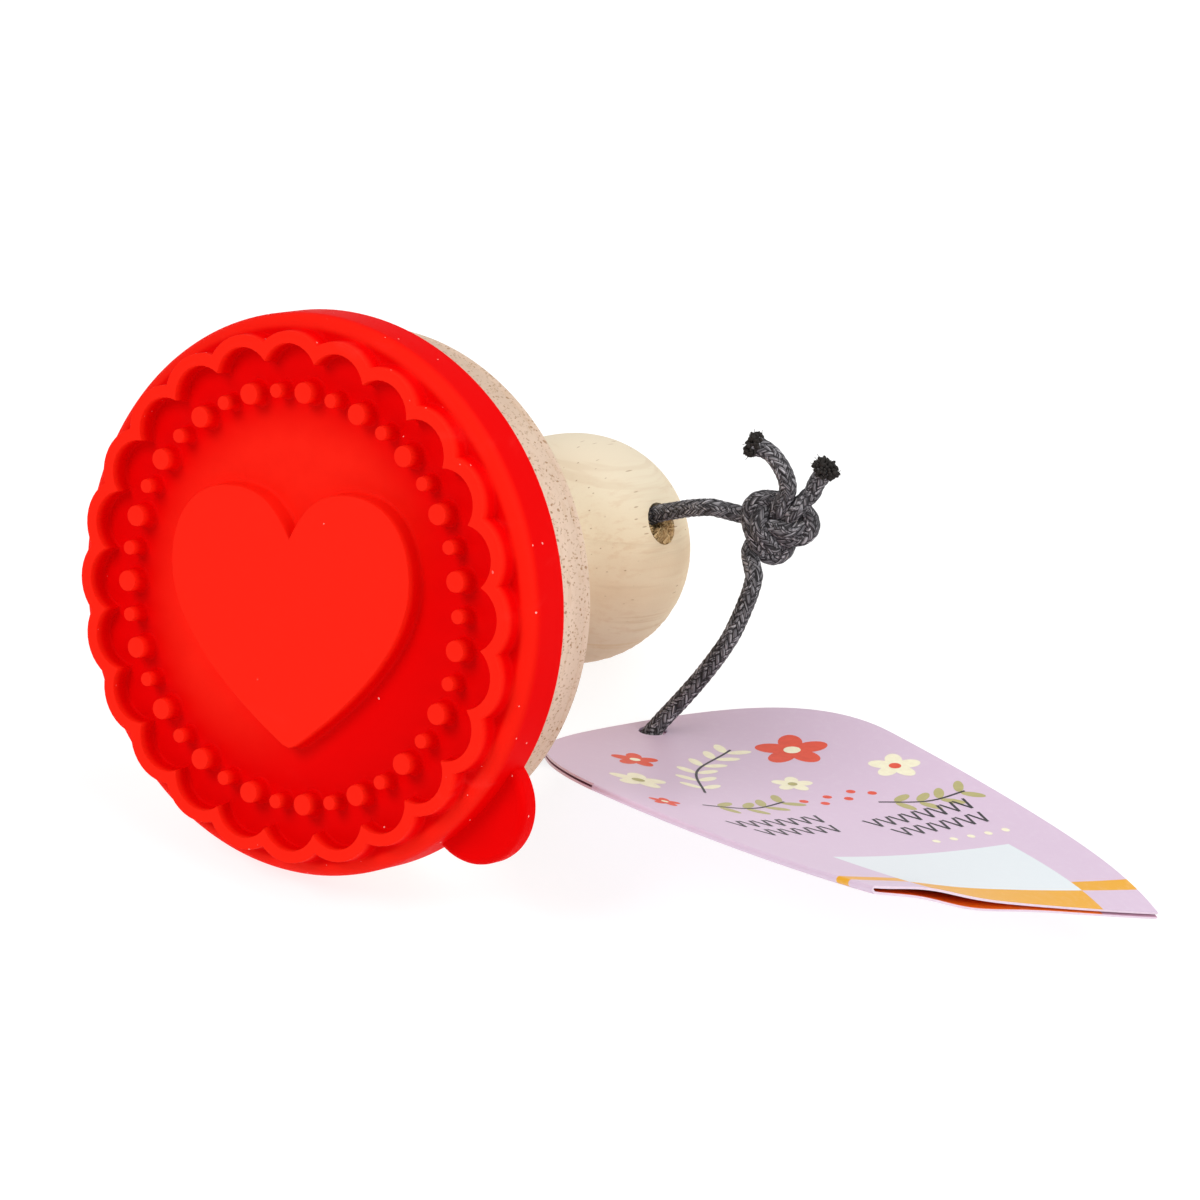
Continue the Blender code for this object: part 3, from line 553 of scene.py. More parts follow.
@dataclass(frozen=True)
class BeechFinish:
    """Raw turned beech, with grain lines, pores and faint turning lines; long grain also has painted shade on its lower
    side and painted light on its upper side.
    """

    cut: Cut = Cut.LONG
    pale: Colour = (0.83, 0.69, 0.48, 1.0)
    warm: Colour = (0.76, 0.57, 0.37, 1.0)
    line: Colour = (0.56, 0.36, 0.20, 1.0)
    fleck: Colour = (0.36, 0.20, 0.10, 1.0)
    # Painted shade for the lower side and painted light for the upper side
    lower: Colour = (0.47, 0.30, 0.215, 1.0)
    upper: Colour = (0.84, 0.78, 0.63, 1.0)

    def marks(self, nodes: Nodes, own: Value) -> Value:
        """Masks the dark pores: dense dots on the rim, short strokes on the upper side of long grain.

        Args:
            nodes: The material's nodes.
            own: Coordinates with the turning axis as Z and the floor below -Y.

        Returns:
            The mask.
        """
        if self.cut is Cut.RIM:
            coarse = dust(nodes, nodes.stretch(own, (1.0, 1.0, 0.8)), 1700.0, 0.55, 0.36)
            return coarse | nodes.band(nodes.grain(own, (2600.0, 2600.0, 2000.0), 2.0, 0.6), 0.57, 0.66) * 0.7
        x, y, _ = nodes.split(own)
        distance, chance, _ = nodes.cells(nodes.stretch(own, (2300.0, 2300.0, 210.0)), 1.0)
        stroke = (chance > 0.84) * nodes.band(distance, 0.26, 0.12)
        return stroke * nodes.span(x + y, (8.0, 17.0)).times_plus(0.85, 0.15)

    def material(self) -> bpy.types.Material:
        """Gives the wood, its grain laid out in the stamp's own frame.

        Returns:
            The material.
        """
        grain = self.cut.value
        paint = Paint("beech_" + grain.label, 0.62, 0.12)
        own = paint.stretch(paint.stamp_place(), (1.0, 1.0, 1.0), (0.0, 0.0, STAMP_TURN))
        wide = paint.grain(own, grain.wide, 2.0, 0.5)
        colour = paint.mix(paint.band(wide, 0.35, 0.68), self.pale, self.warm)
        streak = paint.grain(own, grain.streak, 4.0, 0.65)
        colour = paint.mix(paint.band(streak, 0.46, 0.70) * 0.75, colour, self.warm)
        lines = paint.band(paint.grain(own, grain.lines, 3.0, 0.55), 0.54, 0.62) * grain.line_strength
        if self.cut is Cut.LONG:
            # Painted shade towards the floor and painted light on top, with the grain lines stronger in the painted
            # shade
            up = paint.split(own)[1]
            low = paint.span(up, (1.0, -14.0))
            colour = paint.mix(low * 0.72, colour, self.lower)
            colour = paint.mix(paint.span(up, (6.0, 15.0)) * 0.6, colour, self.upper)
            lines = lines * low.times_plus(0.7, 0.3)
        colour = paint.mix(lines, colour, self.line)
        mark = self.marks(paint, own)
        colour = paint.mix(mark * grain.pore_strength, colour, self.fleck)
        turning = paint.grain(own, (2.0, 2.0, 3800.0), 2.0, 0.6)
        rough = paint.noise(own, 2400.0, 4.0, 0.7)
        height = turning * 0.35 + rough * 0.8 + streak.times_plus(0.6, mark * -0.6)
        return paint.give({"Base Color": colour, "Normal": paint.bump(height, 0.4, 0.08 * MM),
                           "Roughness": rough.times_plus(0.2, 0.55)})


GOLDEN_ANGLE = math.pi * (3 - math.sqrt(5))
BRAID_CARRIERS = 10
BRAID_PITCH = 9.5 * MM
CENTIMETRE = 0.01

# How the strands wander: share of a turn, and turns for each centimetre along and each time round
WANDER_ROUND = ((0.020, 1.64, 0.0), (0.012, 3.70, 2.0))
WANDER_ALONG = (0.015, 2.33, 3.0)

# How a strand swells: powers across it and along it
BULGE = 0.8
ARCH = 0.45


def braid_group() -> bpy.types.NodeTree:
    """Gives the group that lays a two over two braid round a cord.

    Returns:
        The group.
    """

    def wire(nodes: Nodes, given: dict[str, Value]) -> dict[str, Value]:
        """Works out which strand lies on top and where on it a point is.

        Args:
            nodes: The group's nodes.
            given: Its inputs by name.

        Returns:
            Its outputs by name.
        """
        around, along, _ = nodes.split(given["Vector"])

        def wave(share: float, each_long: float, each_round: float) -> Value:
            """Gives one slow wave of the strands."""
            turns = along.times_plus(each_long, around * each_round)
            return nodes.math("SINE", turns * math.tau) * share

        shift = wave(*WANDER_ROUND[0]) + wave(*WANDER_ROUND[1])
        a = (around + shift) * float(BRAID_CARRIERS)
        b = along.times_plus(CENTIMETRE / BRAID_PITCH, wave(*WANDER_ALONG)) * float(BRAID_CARRIERS)
        first, second = a + b, a - b
        first_cell, second_cell = nodes.math("FLOOR", first), nodes.math("FLOOR", second)
        first_part, second_part = nodes.math("FRACT", first), nodes.math("FRACT", second)
        order = (first_cell + second_cell) % 4.0
        over = order < 1.5
        under = 1.0 - over
        across = over * first_part + under * second_part
        rest = over * second_part + under * first_part
        length = (order - under * 2.0 + rest) * 0.5
        strand = (over * first_cell + under * (second_cell + 3.0)) % float(BRAID_CARRIERS)
        bulge = nodes.math("SINE", across * math.pi) ** BULGE
        arch = nodes.math("SINE", length * math.pi) ** ARCH
        seed = strand.times_plus(3.7, over * 11.0)
        spot = nodes.out("CombineXYZ", {0: across * 2.6, 1: length.times_plus(1.1, along * 9.0), 2: seed})
        fibre = nodes.noise(spot, 1.0, 4.0, 0.72)
        shade = nodes.out("TexWhiteNoise", {"W": seed}, "Value", noise_dimensions="1D")
        return {"Height": bulge * arch, "Fibre": fibre, "Shade": shade}

    return shared_group("two over two braid", ("Vector",), ("Height", "Fibre", "Shade"), wire)


@dataclass(frozen=True)
class CordFinish:
    """Waxed charcoal cotton, braided, with some paler and some tan threads."""

    # Painted shade between the strands, the strands' own grey, paler fibres with a painted sheen, and tan threads
    gap: Colour = (0.012, 0.011, 0.012, 1.0)
    strand: Colour = (0.115, 0.110, 0.120, 1.0)
    pale_fibre_sheen: Colour = (0.72, 0.70, 0.73, 1.0)
    tan: Colour = (0.26, 0.19, 0.12, 1.0)

    def material(self) -> bpy.types.Material:
        """Gives the braid, with painted shade between its strands and paler fibres with a painted sheen on their tops.

        Returns:
            The material.
        """
        paint = Paint("waxed_cord", 0.65, 0.25)
        braid = paint.new("Group", {0: paint.out("UVMap", uv_map="cord")}, node_tree=braid_group())
        height, fibre, shade = (Value(paint, output) for output in braid.outputs)
        uneven = paint.noise(paint.place(), 700.0, 3.0, 0.6)
        depth = paint.band(uneven.times_plus(0.5, height), 0.30, 0.95)
        # Painted shade in the gaps between strands
        colour = paint.mix(depth, self.gap, self.strand)
        # Paler fibres with a painted sheen, strongest on the strands' tops
        light = paint.band(fibre, 0.48, 0.66) * shade.times_plus(0.6, 0.4) * depth.times_plus(0.85, 0.15)
        colour = paint.mix(light, colour, self.pale_fibre_sheen)
        # More painted shade where the fibres dip
        colour = paint.mix(paint.band(fibre, 0.50, 0.40) * 0.95, colour, self.gap)
        few = paint.band(uneven, 0.60, 0.72) * paint.band(fibre, 0.5, 0.6)
        colour = paint.mix(few * 0.5, colour, self.tan)
        relief = height * 0.6 + fibre * 0.9
        return paint.give({"Base Color": colour, "Normal": paint.bump(relief, 0.9, 0.16 * MM),
                           "Roughness": fibre.times_plus(0.3, 0.46)})


@dataclass(frozen=True)
class FibreFinish:
    """Loose fibres of one colour."""

    name: str
    colour: Colour

    def material(self) -> bpy.types.Material:
        """Gives the fibres, a little uneven.

        Returns:
            The material.
        """
        paint = Paint(self.name, 0.75, 0.25)
        uneven = paint.noise(paint.place(), 1800.0, 2.0, 0.5)
        darker = tuple(value * 0.45 for value in self.colour[:3]) + (1.0,)
        return paint.give({"Base Color": paint.mix(uneven, darker, self.colour),
                           "Normal": paint.bump(uneven, 0.4, 0.05 * MM)})


class Side(Enum):
    """Which side of the card a print is for."""

    OUTSIDE = "outside"
    INSIDE = "inside"


@dataclass(frozen=True)
class CardFinish:
    """Coated card, lilac with a mustard stripe and a blank white panel; inside, a darker lilac as painted shade, with
    an amber end.
    """

    side: Side = Side.OUTSIDE
    lilac: Colour = (0.700, 0.545, 0.690, 1.0)
    mustard: Colour = (0.83, 0.40, 0.022, 1.0)
    panel: Colour = (0.77, 0.82, 0.85, 1.0)
    # Painted shade: a darker copy of the lilac for the inside of the fold
    inner_lilac_in_shade: Colour = (0.58, 0.32, 0.44, 1.0)
    amber: Colour = (0.92, 0.19, 0.010, 1.0)
    across: tuple = (0.195, 0.800)
    down: tuple = (0.656, 0.880, 0.921)
    fold_margin: float = 0.02

    def material(self) -> bpy.types.Material:
        """Gives the printed card with its fine paper grain.

        Returns:
            The material.
        """
        paint = Paint("card_" + self.side.value, 0.42, 0.4)
        u, v, _ = paint.split(paint.out("UVMap", uv_map="card"))
        top, stripe, foot = self.down
        left, right = self.across
        if self.side is Side.INSIDE:
            ends = v.within(stripe, foot) | (v > foot) * u.within(self.fold_margin, right)
            colour = paint.mix(ends, self.inner_lilac_in_shade, self.amber)
        else:
            ends = v.within(stripe, foot) | (v > foot) * u.within(left, right)
            colour = paint.mix(ends, self.lilac, self.mustard)
            colour = paint.mix(u.within(left, right) * v.within(top, foot), colour, self.panel)
        grain = paint.noise(paint.place(), 900.0, 3.0, 0.6)
        colour = paint.mix(paint.band(grain, 0.45, 0.75) * 0.06, colour, (1.0, 1.0, 1.0, 1.0))
        return paint.give({"Base Color": colour, "Normal": paint.bump(grain, 0.08, 0.05 * MM),
                           "Roughness": grain.times_plus(0.15, 0.36)})


class Ink(Enum):
    """Colours of the small printed motifs, and of the card's bare core."""

    CORAL = (0.70, 0.075, 0.035, 1.0)
    CREAM = (0.86, 0.78, 0.58, 1.0)
    GREY = (0.028, 0.026, 0.030, 1.0)
    OLIVE = (0.42, 0.38, 0.16, 1.0)
    CORE = (0.72, 0.58, 0.68, 1.0)

    def material(self) -> bpy.types.Material:
        """Gives the ink, with a faint unevenness.

        Returns:
            The material.
        """
        paint = Paint("ink_" + self.name.lower(), 0.45, 0.4)
        thin = tuple(min(1.0, value * 1.25 + 0.01) for value in self.value[:3]) + (1.0,)
        return paint.give({"Base Color": paint.mix(paint.noise(paint.place(), 1400.0), self.value, thin)})


@dataclass
class SiliconeCap:
    """The silicone cap: a cup over the disc's rim, with a pull tab and a raised stamping pattern."""

    radius: float = 35.0
    disc_radius: float = 32.55
    back: float = 9.5
    ceiling: float = 14.3
    floor: float = 16.5
    top: float = 19.0
    shoulder: float = 1.8
    lip: float = 0.6
    inner_edge: float = 0.2
    edge: float = 0.13
    root: float = 0.5
    sink: float = 0.03
    dot_ring: float = 25.6
    dots: int = 19
    large_dot: float = 1.3
    small_dot: float = 0.875
    scallops: int = 24
    first_scallop: float = math.radians(91.7)
    outer_wall: Ring = (31.6, 33.0)
    inner_wall: Ring = (29.3, 31.5)
    heart_tilt: float = math.radians(-5.8)
    tab_angle: float = math.radians(-51.5)
    tab_radius: float = 7.6
    tab_reach: float = 6.1
    tab_thickness: float = 3.0
    tab_edge: float = 0.9

    def rings(self, draft: float, fillet: float) -> list[Ring]:
        """Gives the steps up a raised form.

        Args:
            draft: How much wider the wall is at its foot than at its top.
            fillet: Radius of the hollow at its foot.

        Returns:
            Pairs of how far outside the top's outline a step lies, and its height.
        """
        steps = [(draft + fillet, self.floor - self.root)]
        for degrees in (8, 28, 48, 68, 90):
            angle = math.radians(degrees)
            steps.append((draft + fillet * (1 - math.sin(angle)),
                          self.floor + fillet * (1 - math.cos(angle))))
        for degrees in (0, 35, 65, 90):
            angle = math.radians(degrees)
            steps.append((-self.edge * (1 - math.cos(angle)), self.top - self.edge * (1 - math.sin(angle))))
        steps[1] = (steps[1][0], self.floor - self.sink)
        return steps

    def dot(self, radius: float, place: Point2, steps: int) -> bmesh.types.BMesh:
        """Turns one dot.

        Args:
            radius: Of its top.
            place: Its centre.
            steps: Facets all round.

        Returns:
            The dot as a bmesh.
        """
        rings = self.rings(0.14, 0.2 + 0.25 * radius)
        profile = [(0.0, rings[0][1])] + [(radius + out, height) for out, height in rings] + [(0.0, self.top)]
        work = spin_profile(profile, steps)
        bmesh.ops.translate(work, verts=work.verts, vec=(*place, 0.0))
        return work

    def form(self, outlines: Sequence[Callable[[float], list[Point2]]], draft: float,
             fillet: float) -> bmesh.types.BMesh:
        """Raises a form from one or more outlines, step by step.

        Args:
            outlines: Each gives a closed outline that lies so far outside the top's own.
            draft: How much wider the wall is at its foot.
            fillet: Radius of the hollow at its foot.

        Returns:
            The closed form.
        """
        work = bmesh.new()
        number = work.verts.layers.int.new("number")
        rings = self.rings(draft, fillet)
        ends = [[], []]
        for outline in outlines:
            verts = [work.verts.new((x, y, rings[0][1])) for x, y in outline(rings[0][0])]
            for count, vert in enumerate(verts):
                vert[number] = count
            loop = [work.edges.new(pair) for pair in zip(verts, verts[1:] + verts[:1])]
            ends[0] += loop
            for out, height in rings[1:]:
                made = bmesh.ops.extrude_edge_only(work, edges=loop)["geom"]
                fresh = [item for item in made if isinstance(item, bmesh.types.BMVert)]
                points = outline(out)
                order = {vert[number]: vert for vert in fresh}
                verts = [order[count] for count in range(len(points))]
                for vert, (x, y) in zip(verts, points):
                    vert.co = (x, y, height)
                known = set(verts)
                loop = [item for item in made if isinstance(item, bmesh.types.BMEdge)
                        and item.verts[0] in known and item.verts[1] in known]
            ends[1] += loop
        for edges in ends:
            bmesh.ops.triangle_fill(work, use_beauty=True, use_dissolve=False, edges=edges)
        bmesh.ops.remove_doubles(work, verts=work.verts, dist=1e-4)
        bmesh.ops.dissolve_degenerate(work, dist=1e-4, edges=work.edges)
        bmesh.ops.recalc_face_normals(work, faces=work.faces)
        return work

    def heart(self, out: float) -> list[Point2]:
        """Gives the heart's outline, moved outwards.

        Args:
            out: How far outside the top's own outline.

        Returns:
            A closed outline about the face's centre.
        """
        steps = 16
        half = cubic((0.0, 7.3), (2.3, 11.6), (4.6, 13.4), (9.1, 13.4), steps)
        half += cubic((9.1, 13.4), (14.6, 13.4), (18.35, 9.5), (18.35, 3.2), steps)
        half += cubic((18.35, 3.2), (18.35, -5.1), (8.7, -13.3), (0.0, -18.9), steps)
        before = half[-1]
        near = (before[0] * 0.55, before[1] + (-18.9 - before[1]) * 0.45)
        half += [near, (near[0] * 0.45, -18.45)]
        line = np.array(half + [(0.0, -18.62)])
        run = np.gradient(line, axis=0)
        run /= np.linalg.norm(run, axis=1)[:, None]
        moved = line + out * np.stack([-run[:, 1], run[:, 0]], 1)
        inner = moved[1:-1]
        first = inner[0] - (inner[1] - inner[0]) * 20
        chain = np.vstack([first, inner])
        cross = next(k for k in range(len(chain) - 1) if chain[k + 1][0] > 0)
        share = -chain[cross][0] / (chain[cross + 1][0] - chain[cross][0])
        cleft = (0.0, float(chain[cross][1] + share * (chain[cross + 1][1] - chain[cross][1])))
        side = [cleft if point[0] <= 0 else (float(point[0]), float(point[1])) for point in inner]
        tip = (0.0, -18.62 - out)
        turn = Matrix.Rotation(self.heart_tilt, 2)
        whole = [cleft] + side + [tip] + [(-x, y) for x, y in side[::-1]]
        return [tuple(turn @ Vector(point)) for point in whole]

    def scallop(self, low: float, crest: float, out: float, steps: int) -> list[Point2]:
        """Gives a ring of arcs that meet in points.

        Args:
            low: Radius where two arcs meet.
            crest: Radius at an arc's middle.
            out: How much larger each arc's own radius is.
            steps: Points on each arc.

        Returns:
            The closed outline about the face's centre.
        """
        half = math.pi / self.scallops
        centre = (low * low - crest * crest) / (2 * (low * math.cos(half) - crest))
        radius = crest - centre + out
        reach = centre * math.cos(half) + math.sqrt(radius * radius - (centre * math.sin(half)) ** 2)
        spread = math.atan2(reach * math.sin(half), reach * math.cos(half) - centre)
        outline = []
        for count in range(self.scallops):
            middle = self.first_scallop + (2 * count + 1) * half
            for step in range(steps):
                x, y = polar(radius, spread * (2 * step / steps - 1))
                outline.append(tuple(Matrix.Rotation(middle, 2) @ Vector((centre + x, y))))
        return outline

    def cup(self) -> bmesh.types.BMesh:
        """Gives the turned cup.

        Returns:
            The cup in the stamp's own frame, in millimetres.
        """
        profile = [(0.0, self.floor), (self.radius * 0.5, self.floor)]
        profile += arc((self.radius - self.shoulder, self.floor - self.shoulder), self.shoulder, 1, 0, 8)
        profile += arc((self.radius - self.lip, self.back + self.lip), self.lip, 0, -1, 4)
        profile += [(self.disc_radius + self.inner_edge, self.back),
                    (self.disc_radius, self.back + self.inner_edge),
                    (self.disc_radius, self.ceiling), (0.0, self.ceiling)]
        return spin_profile(profile, 180)

    def tab(self) -> bpy.types.Object:
        """Gives the pull tab, hollowed where the cup's wall takes over.

        Returns:
            The tab.
        """
        low, high, edge = self.back, self.back + self.tab_thickness, self.tab_edge
        profile = [(0.0, high)] + arc((self.tab_radius - edge, high - edge), edge, 1, 0, 6)
        edge *= 0.6
        profile += arc((self.tab_radius - edge, low + edge), edge, 0, -1, 4)
        work = spin_profile(profile + [(0.0, low)], 96)
        centre = polar(self.radius + self.tab_reach - self.tab_radius, self.tab_angle)
        bmesh.ops.translate(work, verts=work.verts, vec=(*centre, 0.0))
        wall = (self.radius + self.disc_radius) / 2
        core = spin_profile([(0.0, high + 5), (wall, high + 5), (wall, low - 5), (0.0, low - 5)], 180)
        return combine(finish_object("tab", work), [finish_object("core", core)], "DIFFERENCE")

    def build(self) -> bpy.types.Object:
        """Builds, joins and dresses the cap.

        Returns:
            The cap.
        """
        forms = [self.form([self.heart], 0.12, 0.5)]
        forms.append(self.form([lambda out: self.scallop(*self.outer_wall, out, 10),
                                lambda out: self.scallop(*self.inner_wall, -out, 12)], 0.1, 0.38))
        for radius, first, steps in ((self.large_dot, 98.4, 28), (self.small_dot, 88.9, 22)):
            for count in range(self.dots):
                angle = math.radians(first) - count * math.tau / self.dots
                forms.append(self.dot(radius, polar(self.dot_ring, angle), steps))
        cap = finish_object("red_cap", self.cup())
        union = bmesh.new()
        for work in forms:
            mesh = bpy.data.meshes.new("form")
            work.to_mesh(mesh)
            work.free()
            union.from_mesh(mesh)
            bpy.data.meshes.remove(mesh)
        combine(cap, [self.tab(), finish_object("forms", union)], "UNION")
        cap.data.transform(STAMP_MM)
        smooth(cap.data, 50)
        cap.modifiers.new("even_normals", "WEIGHTED_NORMAL").keep_sharp = True
        coat(cap, SiliconeFinish().material())
        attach(cap, "cap")
        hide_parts("stamp_pad")
        return cap


@dataclass
class BeechDisc:
    """The turned disc that the cap grips."""

    radius: float = 32.25
    thickness: float = 14.0
    chamfer: float = 0.7
    edge: float = 0.5
    hole: float = 4.3
    hole_depth: float = 9.3

    def build(self) -> bpy.types.Object:
        """Turns and dresses the disc.

        Returns:
            The disc.
        """
        profile = [(0.0, self.thickness), (self.radius - self.edge, self.thickness),
                   (self.radius, self.thickness - self.edge), (self.radius, 1.75), (self.radius - 0.07, 1.62),
                   (self.radius - 0.02, 1.5), (self.radius, 1.3)]
        profile += arc((self.radius - self.chamfer, self.chamfer), self.chamfer, 0, -1, 4)
        profile += [(self.hole, 0.0), (self.hole, self.hole_depth), (0.0, self.hole_depth)]
        disc = finish_object("beech_disc", spin_profile(profile, 180), STAMP_MM, 50)
        coat(disc, BeechFinish(Cut.RIM, (0.74, 0.57, 0.44, 1.0), (0.66, 0.49, 0.37, 1.0)).material())
        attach(disc, "stamp")
        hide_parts("base_disc")
        return disc


@dataclass(frozen=True)
class Bore:
    """The cord's bore through the ball, in millimetres of the stamp's own frame."""

    radius: float = 2.8
    place: float = 41.3
    angle: float = math.radians(11.5)

    def along(self) -> Vector:
        """Gives its direction."""
        return Vector((math.cos(self.angle), math.sin(self.angle), 0.0))

    def centre(self) -> Vector:
        """Gives its middle."""
        return Vector((0.0, 0.0, -self.place))


@dataclass
class BeechHandle:
    """The turned handle: ball, waist and foot, with the cord's bore through the ball."""

    ball: float = 15.1
    half_length: float = 15.0
    fullness: float = 2.24
    centre: float = 41.35
    fuzz: float = 0.10
    fibre_count: int = 640
    fibre_depths: tuple = (13.4, 14.9)
    quarter_turns: float = 1.42
    waist: Ring = (8.5, -12.5)
    foot: Ring = (13.0, -2.8)
    hole: float = 4.3
    bore: Bore = Bore()

    def profile(self) -> list[Ring]:
        """Gives the outline from the ball's end to the blind hole in the foot.

        Returns:
            Points of radius and height.
        """
        power = 2 / self.fullness
        points = []
        for step in range(65):
            angle = step / 64 * self.quarter_turns * math.pi / 2
            radius = self.ball * abs(math.sin(angle)) ** power
            height = self.half_length * math.copysign(abs(math.cos(angle)) ** power, math.cos(angle))
            points.append((radius, -self.centre - height))
        end, before = points[-1], points[-2]
        slope = (end[0] - before[0]) / (end[1] - before[1])
        waist, rim = self.waist, self.foot
        third = (waist[1] - end[1]) / 3
        rise = rim[1] - waist[1]
        leave, arrive = (end[0] + slope * third, end[1] + third), (waist[0], waist[1] - third)
        points += cubic(end, leave, arrive, waist, 16)[1:]
        leave, arrive = (waist[0], waist[1] + rise / 2), (rim[0] - rise / 3, rim[1])
        points += cubic(waist, leave, arrive, rim, 12)
        points += [rim, (13.0, -0.8), (12.85, -0.45), (12.5, -0.3), (self.hole, -0.3)]
        return points + [(self.hole, -12.3), (0.0, -12.3)]

    def fibres(self, seed: int) -> bpy.types.Object:
        """Gives the torn wood fibres in the bore's front mouth.

        Args:
            seed: Starts the random numbers.

        Returns:
            The fibres.
        """
        dice = random.Random(seed)
        along = self.bore.along()
        down = (STAMP_DOWN - along * STAMP_DOWN.dot(along)).normalized()
        side = along.cross(down)
        work = bmesh.new()
        for _ in range(self.fibre_count):
            turn = dice.gauss(0.0, 0.8)
            out = down * math.cos(turn) + side * math.sin(turn)
            start = self.bore.centre() + along * dice.uniform(*self.fibre_depths)
            start += out * (self.bore.radius - dice.uniform(0.0, 1.5))
            lean = (-out * dice.uniform(0.5, 1.0) + along * dice.uniform(-0.4, 0.7)
                    + side * dice.uniform(-0.7, 0.7)).normalized()
            length = dice.uniform(0.5, 1.4)
            width = dice.uniform(0.07, 0.22)
            cone = bmesh.ops.create_cone(work, cap_ends=True, segments=4, radius1=width, radius2=width * 0.25,
                                         depth=length)["verts"]
            bmesh.ops.transform(work, matrix=aimed(start + lean * length * 0.42, lean), verts=cone)
        made = finish_object("bore_fibres", work, STAMP_MM)
        coat(made, FibreFinish("wood_fibres", (0.90, 0.64, 0.32, 1.0)).material())
        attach(made, "stamp")
        return made

    def roughen(self, mesh: bpy.types.Mesh) -> None:
        """Lifts a fuzz of fibres on the ball's underside.

        Args:
            mesh: The handle in the stamp's own frame, in millimetres.
        """
        normals = [vert.normal.copy() for vert in mesh.vertices]
        for vert, normal in zip(mesh.vertices, normals):
            low = max(0.0, normal.dot(STAMP_DOWN) + 0.15)
            if vert.co.z < -self.centre + self.half_length * 0.8 and low > 0.0:
                vert.co += normal * (noise.noise(vert.co * 1.9) * self.fuzz * min(1.0, 2.5 * low))

    def build(self) -> list[bpy.types.Object]:
        """Turns, bores and dresses the handle.

        Returns:
            The handle and its loose fibres.
        """
        handle = finish_object("beech_handle", spin_profile(self.profile(), 220))
        wide, reach = self.bore.radius, 24.0
        cutter = spin_profile([(0.0, reach), (wide, reach), (wide, -reach), (0.0, -reach)], 56)
        turn = Euler((0, math.pi / 2, self.bore.angle)).to_matrix()
        bmesh.ops.rotate(cutter, verts=cutter.verts, cent=(0, 0, 0), matrix=turn)
        bmesh.ops.translate(cutter, verts=cutter.verts, vec=self.bore.centre())
        combine(handle, [finish_object("bore", cutter)], "DIFFERENCE")
        self.roughen(handle.data)
        handle.data.transform(STAMP_MM)
        smooth(handle.data, 45)
        coat(handle, BeechFinish(Cut.LONG).material())
        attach(handle, "stamp")
        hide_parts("handle")
        return [handle, self.fibres(4)]


def length_of(points: np.ndarray) -> float:
    """Gives the length of a row of points."""
    return float(np.linalg.norm(np.diff(points, axis=0), axis=1).sum())


def evenly(points: np.ndarray, count: int) -> np.ndarray:
    """Gives the same line with that many evenly spaced points.

    Args:
        points: The line's points.
        count: How many to give.

    Returns:
        The new points.
    """
    along = np.concatenate([[0.0], np.cumsum(np.linalg.norm(np.diff(points, axis=0), axis=1))])
    places = np.linspace(0.0, along[-1], count)
    return np.stack([np.interp(places, along, points[:, axis]) for axis in range(3)], 1)


def sideways(points: np.ndarray) -> np.ndarray:
    """Gives the level unit vectors across a row of points.

    Args:
        points: The row.

    Returns:
        One vector for each point.
    """
    run = np.gradient(points, axis=0)
    side = np.stack([-run[:, 1], run[:, 0], 0 * run[:, 0]], 1)
    return side / np.linalg.norm(side, axis=1)[:, None]


def numbers_of(items: Sequence, label: str, width: int = 1, kind: type = float) -> np.ndarray:
    """Reads one property of all the items of a mesh.

    Args:
        items: A collection of the mesh.
        label: The property's name.
        width: How many numbers each item has.
        kind: Their type.

    Returns:
        The numbers, in one row.
    """
    values = np.empty(len(items) * width, kind)
    items.foreach_get(label, values)
    return values


def smooth_curve(points: Sequence[Sequence[float]], step: float) -> np.ndarray:
    """Lays a smooth curve through points.

    Args:
        points: The points to pass.
        step: About how far apart the given points lie.

    Returns:
        A row of points, evenly spaced.
    """
    row = [np.array(point, float) for point in points]
    ends = [2 * row[0] - row[1]] + row + [2 * row[-1] - row[-2]]
    fine = []
    for a, b, c, d in zip(ends, ends[1:], ends[2:], ends[3:]):
        gaps = [max(np.linalg.norm(q - p), 1e-9) ** 0.5 for p, q in ((a, b), (b, c), (c, d))]
        knots = np.cumsum([0.0] + gaps)
        for t in np.linspace(knots[1], knots[2], 13)[:-1]:
            spans = ((a, b, knots[0], knots[1]), (b, c, knots[1], knots[2]), (c, d, knots[2], knots[3]))
            first = [(p * (k1 - t) + q * (t - k0)) / (k1 - k0) for p, q, k0, k1 in spans]
            pairs = ((first[0], first[1], knots[0], knots[2]), (first[1], first[2], knots[1], knots[3]))
            second = [(p * (k1 - t) + q * (t - k0)) / (k1 - k0) for p, q, k0, k1 in pairs]
            fine.append((second[0] * (knots[2] - t) + second[1] * (t - knots[1])) / (knots[2] - knots[1]))
    fine = np.array(fine + [row[-1]])
    return evenly(fine, max(2, 1 + round(length_of(fine) / step)))


